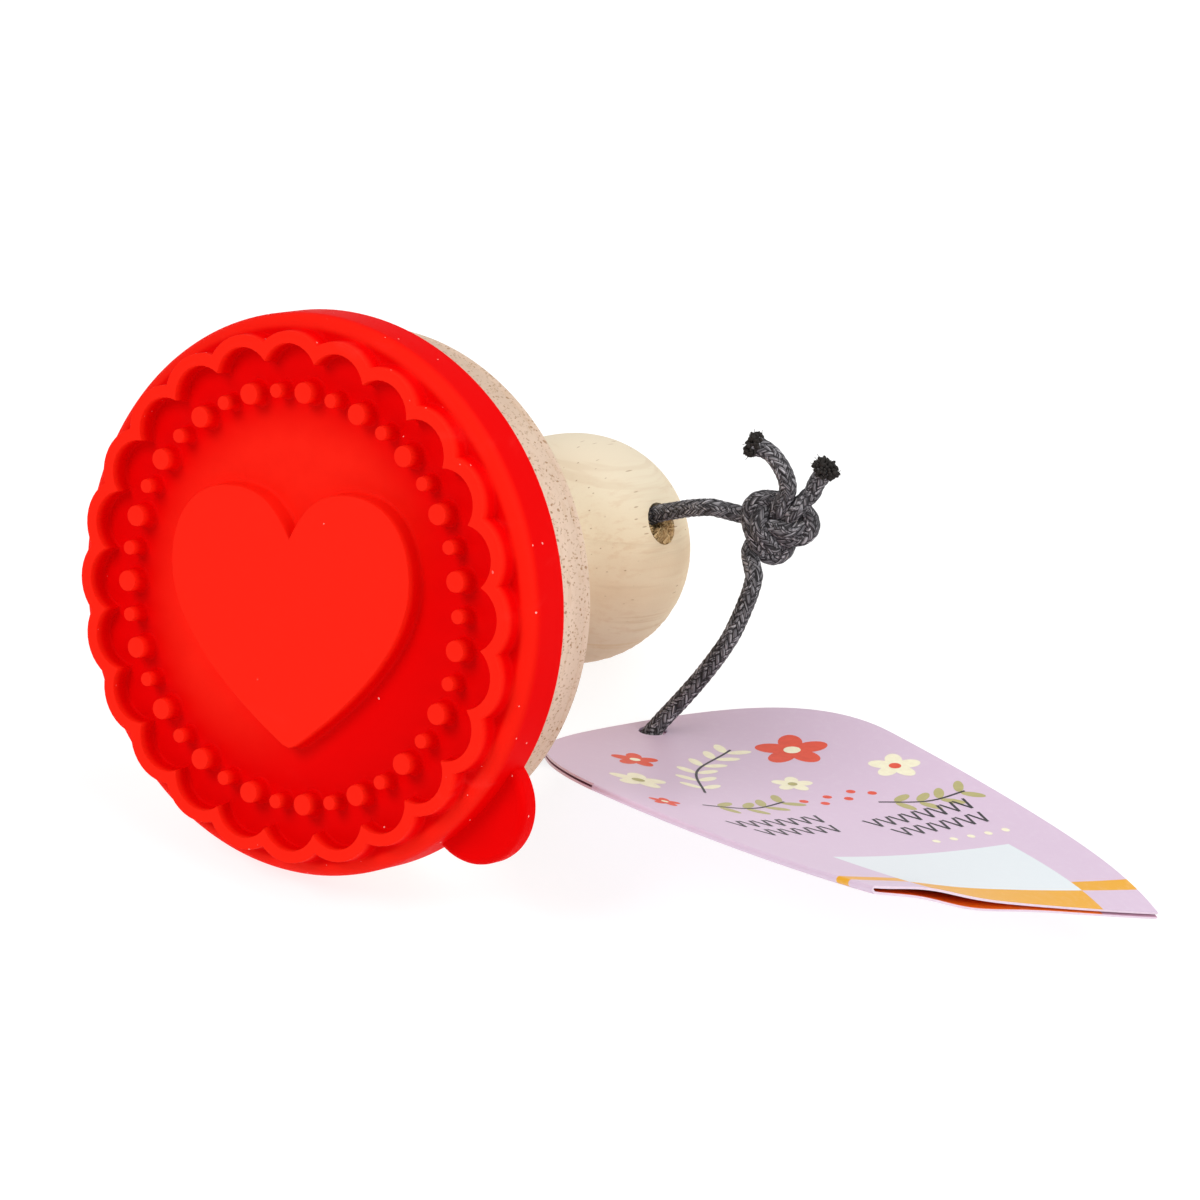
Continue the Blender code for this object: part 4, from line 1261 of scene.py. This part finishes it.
@dataclass
class TightKnot:
    """The doubled overhand knot that joins the cord's two ends, drawn tight. All sizes in millimetres."""

    spacing: float = 1.65
    centre: tuple = (25.7, 4.7, 27.1)
    facing: tuple = (math.radians(82.0), 0.0, math.radians(37.7))
    points: int = 64
    rounds: int = 1000
    settling: int = 300

    def loose(self) -> np.ndarray:
        """Gives both strands side by side along the loose knot.

        Returns:
            The front strand's points and then the rear strand's.
        """
        middle = evenly(smooth_curve(LOOSE_KNOT, 1.0), self.points)
        offset = 0.62 * self.spacing * sideways(middle)
        turn = np.array(Euler(self.facing).to_matrix())
        strands = (middle + offset, middle - offset)
        return np.concatenate([strand @ turn.T + np.array(self.centre) for strand in strands])

    def spread(self, points: np.ndarray, pairs: np.ndarray, free: np.ndarray) -> None:
        """Pushes apart every pair of points that lies closer than the spacing.

        Args:
            points: Both strands, changed in place.
            pairs: Which pairs count.
            free: Which points may move.
        """
        apart = points[:, None] - points[None]
        far = np.sqrt((apart * apart).sum(-1))
        first, second = np.nonzero(pairs & (far < self.spacing))
        gap = far[first, second][:, None]
        push = 0.5 * (self.spacing - gap) * apart[first, second] / np.maximum(gap, 1e-9)
        move = np.zeros_like(points)
        count = np.zeros(len(points))
        for index, sign in ((first, 1.0), (second, -1.0)):
            np.add.at(move, index, sign * push)
            np.add.at(count, index, 1.0)
        points[free] += (1.2 * move / np.maximum(count, 1.0)[:, None])[free]

    def drawn(self) -> tuple[np.ndarray, np.ndarray]:
        """Draws the knot tight.

        Returns:
            The front strand and the rear strand.
        """
        total = 2 * self.points
        strands = self.loose()
        halves = (slice(0, self.points), slice(self.points, total))
        ends = [0, self.points - 1, self.points, total - 1]
        goal = np.array([FRONT_IN, FRONT_OUT, REAR_IN, REAR_OUT])
        start = strands[ends].copy()
        free = np.ones(total, bool)
        free[ends] = False
        index = np.arange(total)
        same = (index[:, None] < self.points) == (index[None] < self.points)
        along = np.abs(index[:, None] - index[None])
        for count in range(self.rounds + self.settling):
            strands[ends] = start + (goal - start) * min(1.0, 2 * count / self.rounds)
            pull = 0.4 if count < self.rounds else 0.02
            step = np.zeros(total)
            for half in halves:
                line = strands[half]
                line[1:-1] += pull * (0.5 * (line[:-2] + line[2:]) - line[1:-1])
                step[half] = length_of(line) / (self.points - 1)
            pairs = np.triu(~(same & (along * step[:, None] < 1.7 * self.spacing)))
            for _ in range(3):
                self.spread(strands, pairs, free)
            if count % 20 == 0:
                for half in halves:
                    strands[half] = evenly(strands[half], self.points)
        return strands[halves[0]], strands[halves[1]]


@dataclass
class BraidedCord:
    """One end of the cord, from the middle of the bore to its bare tail. All sizes in millimetres."""

    name: str
    route: np.ndarray
    replaced: tuple
    mouth: np.ndarray
    diameter: float = 2.35
    step: float = 0.16
    around: int = 48
    relief: float = 0.10
    flare: float = 0.24
    flare_length: float = 2.2
    tufts: int = 110
    fan: float = math.radians(118)
    knob: float = 1.38

    def braid_height(self, around: np.ndarray, along: np.ndarray) -> np.ndarray:
        """Gives how far the braid stands up.

        Args:
            around: Place round the cord, 0 to 1.
            along: Place along it in millimetres.

        Returns:
            Heights from 0 between strands to 1 on top of one.
        """
        shift = sum(share * np.sin(math.tau * (along * 0.1 * each_long + around * each_round))
                    for share, each_long, each_round in WANDER_ROUND)
        share, each_long, each_round = WANDER_ALONG
        a = (around + shift) * BRAID_CARRIERS
        sway = share * np.sin(math.tau * (along * 0.1 * each_long + around * each_round))
        b = (along * MM / BRAID_PITCH + sway) * BRAID_CARRIERS
        first, second = a + b, a - b
        order = np.mod(np.floor(first) + np.floor(second), 4)
        over = order < 1.5
        across = np.where(over, first % 1.0, second % 1.0)
        length = np.where(over, order + second % 1.0, order - 2 + first % 1.0) / 2
        return np.sin(math.pi * across) ** BULGE * np.sin(math.pi * length) ** ARCH

    def swell(self, left: np.ndarray) -> np.ndarray:
        """Gives factors for the radius, by the length left to the cut end in millimetres."""
        return 1.0 + self.flare * np.clip(1 - left / self.flare_length, 0, 1) ** 1.5

    def tube(self) -> bpy.types.Object:
        """Sweeps the cord's round section along its route and lays the braid on it.

        Returns:
            The cord.
        """
        line = smooth_curve(self.route, self.step)
        curve = bpy.data.curves.new(self.name, "CURVE")
        curve.dimensions = "3D"
        curve.bevel_depth = 1.0
        curve.bevel_resolution = (self.around - 4) // 2
        spline = curve.splines.new("POLY")
        spline.points.add(len(line) - 1)
        spline.points.foreach_set("co", np.hstack([line, np.ones((len(line), 1))]).ravel())
        source = bpy.data.objects.new(self.name + "_line", curve)
        bpy.context.scene.collection.objects.link(source)
        graph = bpy.context.evaluated_depsgraph_get()
        mesh = bpy.data.meshes.new_from_object(source.evaluated_get(graph), depsgraph=graph)
        bpy.data.objects.remove(source)
        bpy.data.curves.remove(curve)
        sides = len(mesh.vertices) // len(line)
        points = numbers_of(mesh.vertices, "co", 3).reshape(len(line), sides, 3)
        along = np.linspace(0.0, length_of(line), len(line))
        place = np.arange(sides) / sides
        height = self.braid_height(place[None], along[:, None])
        radius = (self.diameter / 2 - self.relief * (1 - height)) * self.swell(along[-1] - along)[:, None]
        points = line[:, None] + (points - line[:, None]) * radius[:, :, None]
        mesh.vertices.foreach_set("co", points.ravel())
        rows = numbers_of(mesh.loops, "vertex_index", kind=int)
        starts = numbers_of(mesh.polygons, "loop_start", kind=int)
        totals = numbers_of(mesh.polygons, "loop_total", kind=int)
        turn = place[rows % sides]
        owner = np.repeat(np.arange(len(totals)), totals)
        wide = np.maximum.reduceat(turn, starts)[owner] - np.minimum.reduceat(turn, starts)[owner] > 0.5
        turn = np.where(wide & (turn < 0.5), turn + 1.0, turn)
        for layer in list(mesh.uv_layers):
            mesh.uv_layers.remove(layer)
        layer = mesh.uv_layers.new(name="cord")
        layer.data.foreach_set("uv", np.stack([turn, along[rows // sides] * 0.1], 1).ravel())
        work = bmesh.new()
        work.from_mesh(mesh)
        bpy.data.meshes.remove(mesh)
        bmesh.ops.holes_fill(work, edges=work.edges, sides=0)
        bmesh.ops.recalc_face_normals(work, faces=work.faces)
        made = finish_object(self.name, work, CORD_MM, 80)
        coat(made, CordFinish().material())
        return made

    def fray(self, seed: int) -> bpy.types.Object:
        """Gives the dark cut fibres at the tail's end.

        Args:
            seed: Starts the random numbers.

        Returns:
            The fibres.
        """
        dice = random.Random(seed)
        line = smooth_curve(self.route, self.step)
        end = Vector(line[-1])
        way = (Vector(line[-1]) - Vector(line[-6])).normalized()
        side = way.orthogonal().normalized()
        other = way.cross(side)
        work = bmesh.new()
        for count in range(self.tufts):
            tilt = self.fan * math.sqrt((count + 0.5) / self.tufts)
            turn = count * GOLDEN_ANGLE + dice.uniform(-0.25, 0.25)
            out = side * math.cos(turn) + other * math.sin(turn)
            hollow = 0.55 if tilt < 0.7 else 0.85
            spot = end + out * math.sin(tilt) * self.knob + way * (math.cos(tilt) * self.knob * hollow - 0.2)
            lean = (way * math.cos(tilt * 0.8) + out * math.sin(tilt * 0.8)
                    + side * dice.uniform(-0.4, 0.4) + other * dice.uniform(-0.4, 0.4)).normalized()
            size = dice.uniform(0.19, 0.30)
            place = aimed(spot + lean * dice.uniform(-0.15, 0.2), lean)
            place @= Matrix.Diagonal((size, size, size * dice.uniform(1.2, 1.9), 1.0))
            ball = bmesh.ops.create_icosphere(work, subdivisions=2, radius=1.0)["verts"]
            for vert in ball:
                vert.co *= dice.uniform(0.88, 1.12)
            bmesh.ops.transform(work, matrix=place, verts=ball)
            if count % 5:
                continue
            thin = bmesh.ops.create_cone(work, cap_ends=True, segments=5, radius1=0.05, radius2=0.03,
                                         depth=dice.uniform(0.5, 1.0))["verts"]
            stray = (lean + side * dice.uniform(-0.6, 0.6) + other * dice.uniform(-0.6, 0.6)).normalized()
            bmesh.ops.transform(work, matrix=aimed(place.translation + stray * 0.35, stray), verts=thin)
        made = finish_object(self.name + "_cut", work, CORD_MM)
        coat(made, FibreFinish(self.name + "_cut_fibres", (0.034, 0.029, 0.026, 1.0)).material())
        return made

    def build(self, seed: int) -> bpy.types.Object:
        """Makes the cord and its cut end, and attaches them to the stamp's body.

        Args:
            seed: Starts the random numbers of the cut end.

        Returns:
            The cord.
        """
        cord = self.tube()
        cut = self.fray(seed)
        for piece in (cord, cut):
            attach(piece, "stamp")
        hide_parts(*self.replaced)
        path = smooth_curve(self.route, 1.0) * MM + np.array(CORD_PLACE)
        return cord


@dataclass
class Cord:
    """The whole cord: through the bore, round by the tag, and knotted to itself."""

    radius: float = 1.175
    clearance: float = 0.3
    ball: float = 15.1
    bore: Bore = Bore()

    def mouths(self) -> tuple[np.ndarray, np.ndarray]:
        """Gives where the cord leaves the bore in front and behind, measured as the routes are.

        Returns:
            The front mouth and the rear mouth, in millimetres.
        """
        turn = Matrix.Translation(-CORD_PLACE) @ STAMP
        along, centre = self.bore.along(), self.bore.centre()
        across = Vector((-along.y, along.x, 0.0)) * (self.bore.radius - self.radius - self.clearance)
        front = turn @ ((centre + along * self.ball + across) * MM)
        rear = turn @ ((centre - along * self.ball - across) * MM)
        return np.array(front) / MM, np.array(rear) / MM

    def build(self) -> list[bpy.types.Object]:
        """Makes both ends of the cord.

        Returns:
            The two cords.
        """
        front_mouth, rear_mouth = self.mouths()
        middle = (front_mouth + rear_mouth) / 2
        knot_front, knot_rear = TightKnot().drawn()
        front = [middle, (middle + 2 * front_mouth) / 3, front_mouth] + FRONT_STRAND
        front += list(knot_front) + FRONT_TAIL
        rear = [middle, (middle + 2 * rear_mouth) / 3, rear_mouth] + TAG_STRAND[::-1] + REAR_STRAND
        rear += list(knot_rear) + REAR_TAIL
        first = BraidedCord("cord_front", np.array([tuple(point) for point in front]),
                            ("cord_in_handle", "cord_front_end"), front_mouth)
        second = BraidedCord("cord_rear", np.array([tuple(point) for point in rear]),
                             ("cord_rear_end", "cord_tag_stretch"), rear_mouth)
        return [first.build(11), second.build(23)]


@dataclass
class SwingTag:
    """The folded card with a half-round top. All sizes in millimetres."""

    width: float = 50.0
    side: float = 50.0
    thickness: float = 0.3
    gap: float = 0.3
    hole: float = 3.7
    hole_across: float = 28.3
    hole_to_edge: float = 3.9
    centre: tuple = (67.0, -25.2, 12.6)
    facing: tuple = (math.radians(-10.9), math.radians(17.8), math.radians(75.7))
    columns: int = 56
    side_rows: int = 52
    arch_rows: int = 30

    def height(self, across: float, down: float) -> float:
        """Gives how far the front leaf stands over its flat plane.

        Args:
            across: 0 at the fold to 1 at the open edge.
            down: 0 at the arch's foot to 1 at the end.

        Returns:
            The height in millimetres.
        """
        a, b = 2 * across - 1, 2 * down - 1
        foot = max(down, 0.0) ** 8
        curl = 0.7 * math.exp(-((across - 0.18) / 0.14) ** 2)
        bend = -2.2 * a * b + 1.65 * a * a - 1.3 * a * a * b - 0.65 * a * b * b
        return bend - 2.2 * across * foot + curl * foot

    def drop(self, across: float, down: float) -> float:
        """Gives how far the back leaf's upper face lies below the front leaf's."""
        mouth = 0.8 * math.exp(-((across - 0.28) / 0.2) ** 2) * max(down, 0.0) ** 6
        return self.thickness + self.gap + mouth

    def place(self, across: float, down: float, drop: float = 0.0) -> Vector:
        """Gives a point of the card.

        Args:
            across: 0 at the fold to 1 at the open edge.
            down: 0 at the arch's foot to 1 at the bottom edge, and -0.5 at the top.
            drop: How far below the front leaf's upper face.

        Returns:
            The point, in metres.
        """
        height = self.height(across, down) - drop
        local = Vector(((across - 0.5) * self.width, (0.5 - down) * self.side, height))
        return (Euler(self.facing).to_matrix() @ local + Vector(self.centre)) * MM + CORD_PLACE

    def hole_place(self) -> Point2:
        """Gives the hole's place on the card.

        Returns:
            How far across and down it lies.
        """
        across = self.hole_across / self.width
        edge = math.sqrt(0.25 - (across - 0.5) ** 2) * self.width
        return across, -(edge - self.hole_to_edge) / self.side

    def sheet(self, is_back: bool) -> bmesh.types.BMesh:
        """Bends a grid to one leaf, and the front leaf's left edge round the fold.

        Args:
            is_back: Whether this is the back leaf.

        Returns:
            The open sheet with its card map.
        """
        rows = []
        for step in range(self.arch_rows):
            angle = math.pi / 2 * (1 - step / self.arch_rows)
            rows.append((-0.5 * math.sin(angle), 0.5 * math.cos(angle)))
        rows += [(step / self.side_rows, 0.5) for step in range(self.side_rows + 1)]
        work = bmesh.new()
        bmesh.ops.create_grid(work, x_segments=self.columns, y_segments=len(rows) - 1, size=1.0)
        layer = work.verts.layers.float_vector.new("card")
        for vert in work.verts:
            down, half = rows[round((1 - vert.co.y) / 2 * (len(rows) - 1))]
            across = 0.5 + vert.co.x * half
            vert[layer] = (across, down, 0.0)
            vert.co = self.place(across, down, self.drop(across, down) if is_back else 0.0)
        if not is_back:
            strip = bmesh.ops.create_grid(work, x_segments=8, y_segments=self.side_rows, size=1.0)["verts"]
            bend = self.thickness + self.gap / 2
            for vert in strip:
                angle = (1 - vert.co.x) / 2 * math.pi
                down = (1 - vert.co.y) / 2
                vert[layer] = (-bend * angle / self.width, down, 0.0)
                vert.co = self.place(-bend * math.sin(angle) / self.width, down, bend * (1 - math.cos(angle)))
        bmesh.ops.remove_doubles(work, verts=work.verts, dist=1e-6)
        bmesh.ops.dissolve_degenerate(work, dist=1e-7, edges=work.edges)
        chart = work.loops.layers.uv.new("card")
        for face in work.faces:
            for loop in face.loops:
                loop[chart].uv = loop.vert[layer][:2]
        return work

    def cut_hole(self, leaf: bpy.types.Object) -> None:
        """Punches the hole through a leaf.

        Args:
            leaf: The leaf, with its thickness.
        """
        across, down = self.hole_place()
        here = self.place(across, down)
        right, up = self.place(across + 0.01, down) - here, self.place(across, down - 0.01) - here
        turn = right.cross(up).normalized().to_track_quat("Z", "Y").to_matrix()
        cutter = bmesh.new()
        bmesh.ops.create_cone(cutter, cap_ends=True, segments=48, radius1=self.hole / 2 * MM,
                              radius2=self.hole / 2 * MM, depth=6 * MM)
        bmesh.ops.rotate(cutter, verts=cutter.verts, cent=(0, 0, 0), matrix=turn)
        bmesh.ops.translate(cutter, verts=cutter.verts, vec=here)
        combine(leaf, [finish_object("punch", cutter)], "DIFFERENCE")

    def leaf(self, name: str, is_back: bool) -> bpy.types.Object:
        """Makes one leaf with its printed face, its other face and its bare edges.

        Args:
            name: The piece's name.
            is_back: Whether this is the back leaf.

        Returns:
            The leaf.
        """
        made = finish_object(name, self.sheet(is_back))
        upper, lower = (Side.INSIDE, Side.OUTSIDE) if is_back else (Side.OUTSIDE, Side.INSIDE)
        for finish in (CardFinish(upper), CardFinish(lower), Ink.CORE):
            made.data.materials.append(finish.material())
        thick = made.modifiers.new("thickness", "SOLIDIFY")
        thick.thickness = self.thickness * MM
        thick.offset = -1.0
        thick.material_offset = 1
        thick.material_offset_rim = 2
        settle_modifiers(made)
        self.cut_hole(made)
        smooth(made.data, 35)
        return made

    def build(self) -> list[bpy.types.Object]:
        """Makes both leaves and the print.

        Returns:
            The tag's pieces.
        """
        front = self.leaf("tag_front", False)
        back = self.leaf("tag_back", True)
        printed = TagPrint(self).build()
        for piece, body in ((front, "leaf"), (back, "tag"), (printed, "leaf")):
            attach(piece, body)
        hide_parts("tag_front_leaf")
        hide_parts("tag_back_leaf")
        return [front, back, printed]


@dataclass
class TagPrint:
    """Small generic motifs on the front leaf, drawn in millimetres across and down the card.

    They are flowers, sprigs, berries, zigzags and dots.
    """

    card: SwingTag
    lift: float = 0.012
    petals: int = 5
    stem_width: float = 0.34
    zigzag_width: float = 0.4
    work: bmesh.types.BMesh = field(default_factory=bmesh.new)

    def tint(self, before: set, ink: Ink) -> None:
        """Gives the faces made since then their ink."""
        for face in set(self.work.faces) - before:
            face.material_index = list(Ink).index(ink)

    def blob(self, ink: Ink, place: Point2, size: Point2, turn: float = 0.0, segments: int = 20,
             layer: int = 0) -> None:
        """Prints an oval.

        Args:
            ink: Its ink.
            place: Its centre, across from the fold and down from the arch's foot.
            size: Its two half widths.
            turn: Its angle in degrees.
            segments: Points all round.
            layer: How many other prints it lies over.
        """
        before = set(self.work.faces)
        verts = bmesh.ops.create_circle(self.work, cap_ends=True, segments=segments, radius=1.0)["verts"]
        matrix = (Matrix.Translation((*place, layer * self.lift))
                  @ Matrix.Rotation(math.radians(turn), 4, "Z") @ Matrix.Diagonal((*size, 1.0, 1.0)))
        bmesh.ops.transform(self.work, matrix=matrix, verts=verts)
        self.tint(before, ink)

    def line(self, points: Sequence[Point2], width: float) -> None:
        """Prints a thin smooth grey line.

        Args:
            points: What it passes.
            width: Its width.
        """
        row = smooth_curve([(*point, 0.0) for point in points], 0.5)
        side = sideways(row) * width / 2
        before = set(self.work.faces)
        verts = bmesh.ops.create_grid(self.work, x_segments=1, y_segments=len(row) - 1, size=1.0)["verts"]
        for vert in verts:
            count = round((vert.co.y + 1) / 2 * (len(row) - 1))
            vert.co = row[count] + side[count] * (1 if vert.co.x > 0 else -1)
            vert.co.z = self.lift
        self.tint(before, Ink.GREY)

    def flower(self, place: Point2, size: float, petals: Ink, heart: Ink) -> None:
        """Prints a flower of a size and two inks.

        Args:
            place: Its middle.
            size: Its radius.
            petals: Ink of the petals.
            heart: Ink of the middle.
        """
        for count in range(self.petals):
            angle = 90 + 360 / self.petals * count
            x, y = polar(size * 0.55, math.radians(angle))
            self.blob(petals, (place[0] + x, place[1] + y), (size * 0.5, size * 0.34), angle)
        self.blob(heart, place, (size * 0.24, size * 0.24), layer=2)

    def sprig(self, start: Point2, end: Point2, bend: float, leaves: int, ink: Ink) -> None:
        """Prints a bent stem with leaves in pairs.

        Args:
            start: Where the stem starts.
            end: Where it ends.
            bend: How far its middle bends out.
            leaves: How many pairs.
            ink: Ink of the leaves.
        """
        a, b = np.array(start), np.array(end)
        normal = np.array((a[1] - b[1], b[0] - a[0])) / np.linalg.norm(b - a)
        stem = [tuple(a), tuple((a + b) / 2 + bend * normal), tuple(b)]
        row = smooth_curve([(*point, 0) for point in stem], 0.5)
        self.line(stem, self.stem_width)
        for count in range(leaves):
            spot = int((count + 0.7) / leaves * (len(row) - 1))
            ahead = row[min(len(row) - 1, spot + 1)] - row[spot]
            for angle in (math.degrees(math.atan2(ahead[1], ahead[0])) + lean for lean in (48, -48)):
                x, y = polar(1.85, math.radians(angle))
                self.blob(ink, (row[spot][0] + x, row[spot][1] + y), (1.6, 0.68), angle, 16)

    def draw(self) -> None:
        """Prints every motif."""
        self.flower((10.5, -3.5), 3.6, Ink.CREAM, Ink.OLIVE)
        self.flower((17.5, -12.0), 3.0, Ink.CORAL, Ink.CREAM)
        self.flower((37.5, -4.5), 4.6, Ink.CORAL, Ink.CREAM)
        self.flower((44.2, 7.5), 3.3, Ink.CREAM, Ink.CORAL)
        self.flower((29.5, 4.5), 2.6, Ink.CREAM, Ink.OLIVE)
        self.flower((6.0, 6.5), 2.0, Ink.CORAL, Ink.CREAM)
        self.sprig((16.0, 3.0), (31.5, -9.5), -2.6, 6, Ink.CREAM)
        self.sprig((34.5, 15.0), (46.5, 18.0), 1.4, 4, Ink.OLIVE)
        self.sprig((11.0, 8.0), (23.5, 9.5), 1.8, 4, Ink.OLIVE)
        for count in range(6):
            self.blob(Ink.CORAL, (26.0 + 2.0 * count, 12.2 if count % 2 else 10.4), (0.62, 0.62), segments=12)
        for left, first, peaks in ((8.0, 15.5, 7), (27.5, 19.5, 8)):
            for row in range(2):
                for count in range(peaks - row):
                    x, y = left + 2.2 * count + 1.1 * row, first + 4.0 * row
                    self.line([(x, y), (x + 0.9, y + 2.8)], self.zigzag_width)
                    self.line([(x + 0.9, y + 2.8), (x + 1.8, y)], self.zigzag_width)
        for count in range(5):
            self.blob(Ink.CREAM, (31.0 + 3.0 * count, 29.2), (0.55, 0.55), segments=12)

    def build(self) -> bpy.types.Object:
        """Draws the motifs flat and lays them on the leaf.

        Returns:
            The print.
        """
        self.draw()
        bmesh.ops.triangulate(self.work, faces=self.work.faces)
        long_edges = [edge for edge in self.work.edges if edge.calc_length() > 1.2]
        bmesh.ops.subdivide_edges(self.work, edges=long_edges, cuts=2)
        for vert in self.work.verts:
            across, down = vert.co.x / self.card.width, vert.co.y / self.card.side
            vert.co = self.card.place(across, down, -self.lift - vert.co.z)
        for face in self.work.faces:
            face.normal_update()
            if face.normal.z < 0:
                face.normal_flip()
        made = finish_object("tag_print", self.work)
        for ink in Ink:
            made.data.materials.append(ink.material())
        return made


@dataclass
class Studio:
    """White floor, soft lights and the camera."""

    eye: tuple = (405.14, -498.43, 435.06)
    angles: tuple = (57.19, -0.46, 37.72)
    lens: float = 179.6
    floor_tone: float = 0.30
    floor_glow: float = 0.80
    sky: float = 0.42
    target: tuple = (0.02, 0.0, 0.02)

    def camera(self) -> None:
        """Places the camera at the photograph's viewing angle."""
        data = bpy.data.cameras.new("camera")
        data.lens = self.lens
        data.sensor_width = 36.0
        data.clip_start = 0.01
        made = bpy.data.objects.new("camera", data)
        made.location = Vector(self.eye) * MM
        made.rotation_euler = Euler([math.radians(angle) for angle in self.angles])
        bpy.context.scene.collection.objects.link(made)
        bpy.context.scene.camera = made

    def floor(self) -> bpy.types.Object:
        """Lays a pale floor.

        Returns:
            The floor.
        """
        work = bmesh.new()
        bmesh.ops.create_grid(work, x_segments=8, y_segments=8, size=3.0)
        made = finish_object("floor", work)
        coat(made, Paint("floor_white", 0.9, 0.0).give({
            "Base Color": (self.floor_tone, self.floor_tone, self.floor_tone, 1.0),
            "Emission Color": (1.0, 1.0, 1.0, 1.0), "Emission Strength": self.floor_glow}))
        return made

    def light(self, name: str, place: Sequence[float], size: float, power: float) -> None:
        """Hangs one soft lamp that faces the stamp.

        Args:
            name: Its name.
            place: Where it hangs, in metres.
            size: Its width.
            power: In watts.
        """
        data = bpy.data.lights.new(name, "AREA")
        data.shape = "DISK"
        data.size = size
        data.energy = power
        made = bpy.data.objects.new(name, data)
        made.location = place
        made.rotation_euler = (Vector(self.target) - Vector(place)).to_track_quat("-Z", "Y").to_euler()
        bpy.context.scene.collection.objects.link(made)

    def lights(self) -> None:
        """Hangs the lamps and sets the room's light."""
        world = bpy.data.worlds.new("studio")
        world.use_nodes = True
        world.node_tree.nodes["Background"].inputs[0].default_value = (1.0, 1.0, 1.0, 1.0)
        world.node_tree.nodes["Background"].inputs[1].default_value = self.sky
        bpy.context.scene.world = world
        self.light("key", (-0.35, -0.80, 0.95), 0.6, 6.8)
        self.light("fill", (1.05, 0.05, 0.75), 0.9, 6.0)
        self.light("back", (0.3, 0.7, 1.05), 0.8, 5.0)
        bpy.context.scene.view_settings.view_transform = "Standard"


def dress_hidden_dowel() -> None:
    """Gives the glued dowel, which stays as it is, the wood of its neighbours."""
    coat(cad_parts["dowel"], BeechFinish(Cut.LONG, (0.8, 0.64, 0.45, 1.0)).material())


def main() -> None:
    """Builds the scene: camera and cords first, then the rest."""
    logging.basicConfig(level=logging.INFO, format="%(message)s")
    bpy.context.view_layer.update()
    studio = Studio()
    studio.camera()
    for cord in Cord().build():
        LOG.info("cord %s: %d faces", cord.name, len(cord.data.polygons))
    for piece in [SiliconeCap().build(), BeechDisc().build()] + BeechHandle().build() + SwingTag().build():
        LOG.info("piece %s: %d faces", piece.name, len(piece.data.polygons))
    dress_hidden_dowel()
    studio.floor()
    studio.lights()


if __name__ == "__main__":
    main()
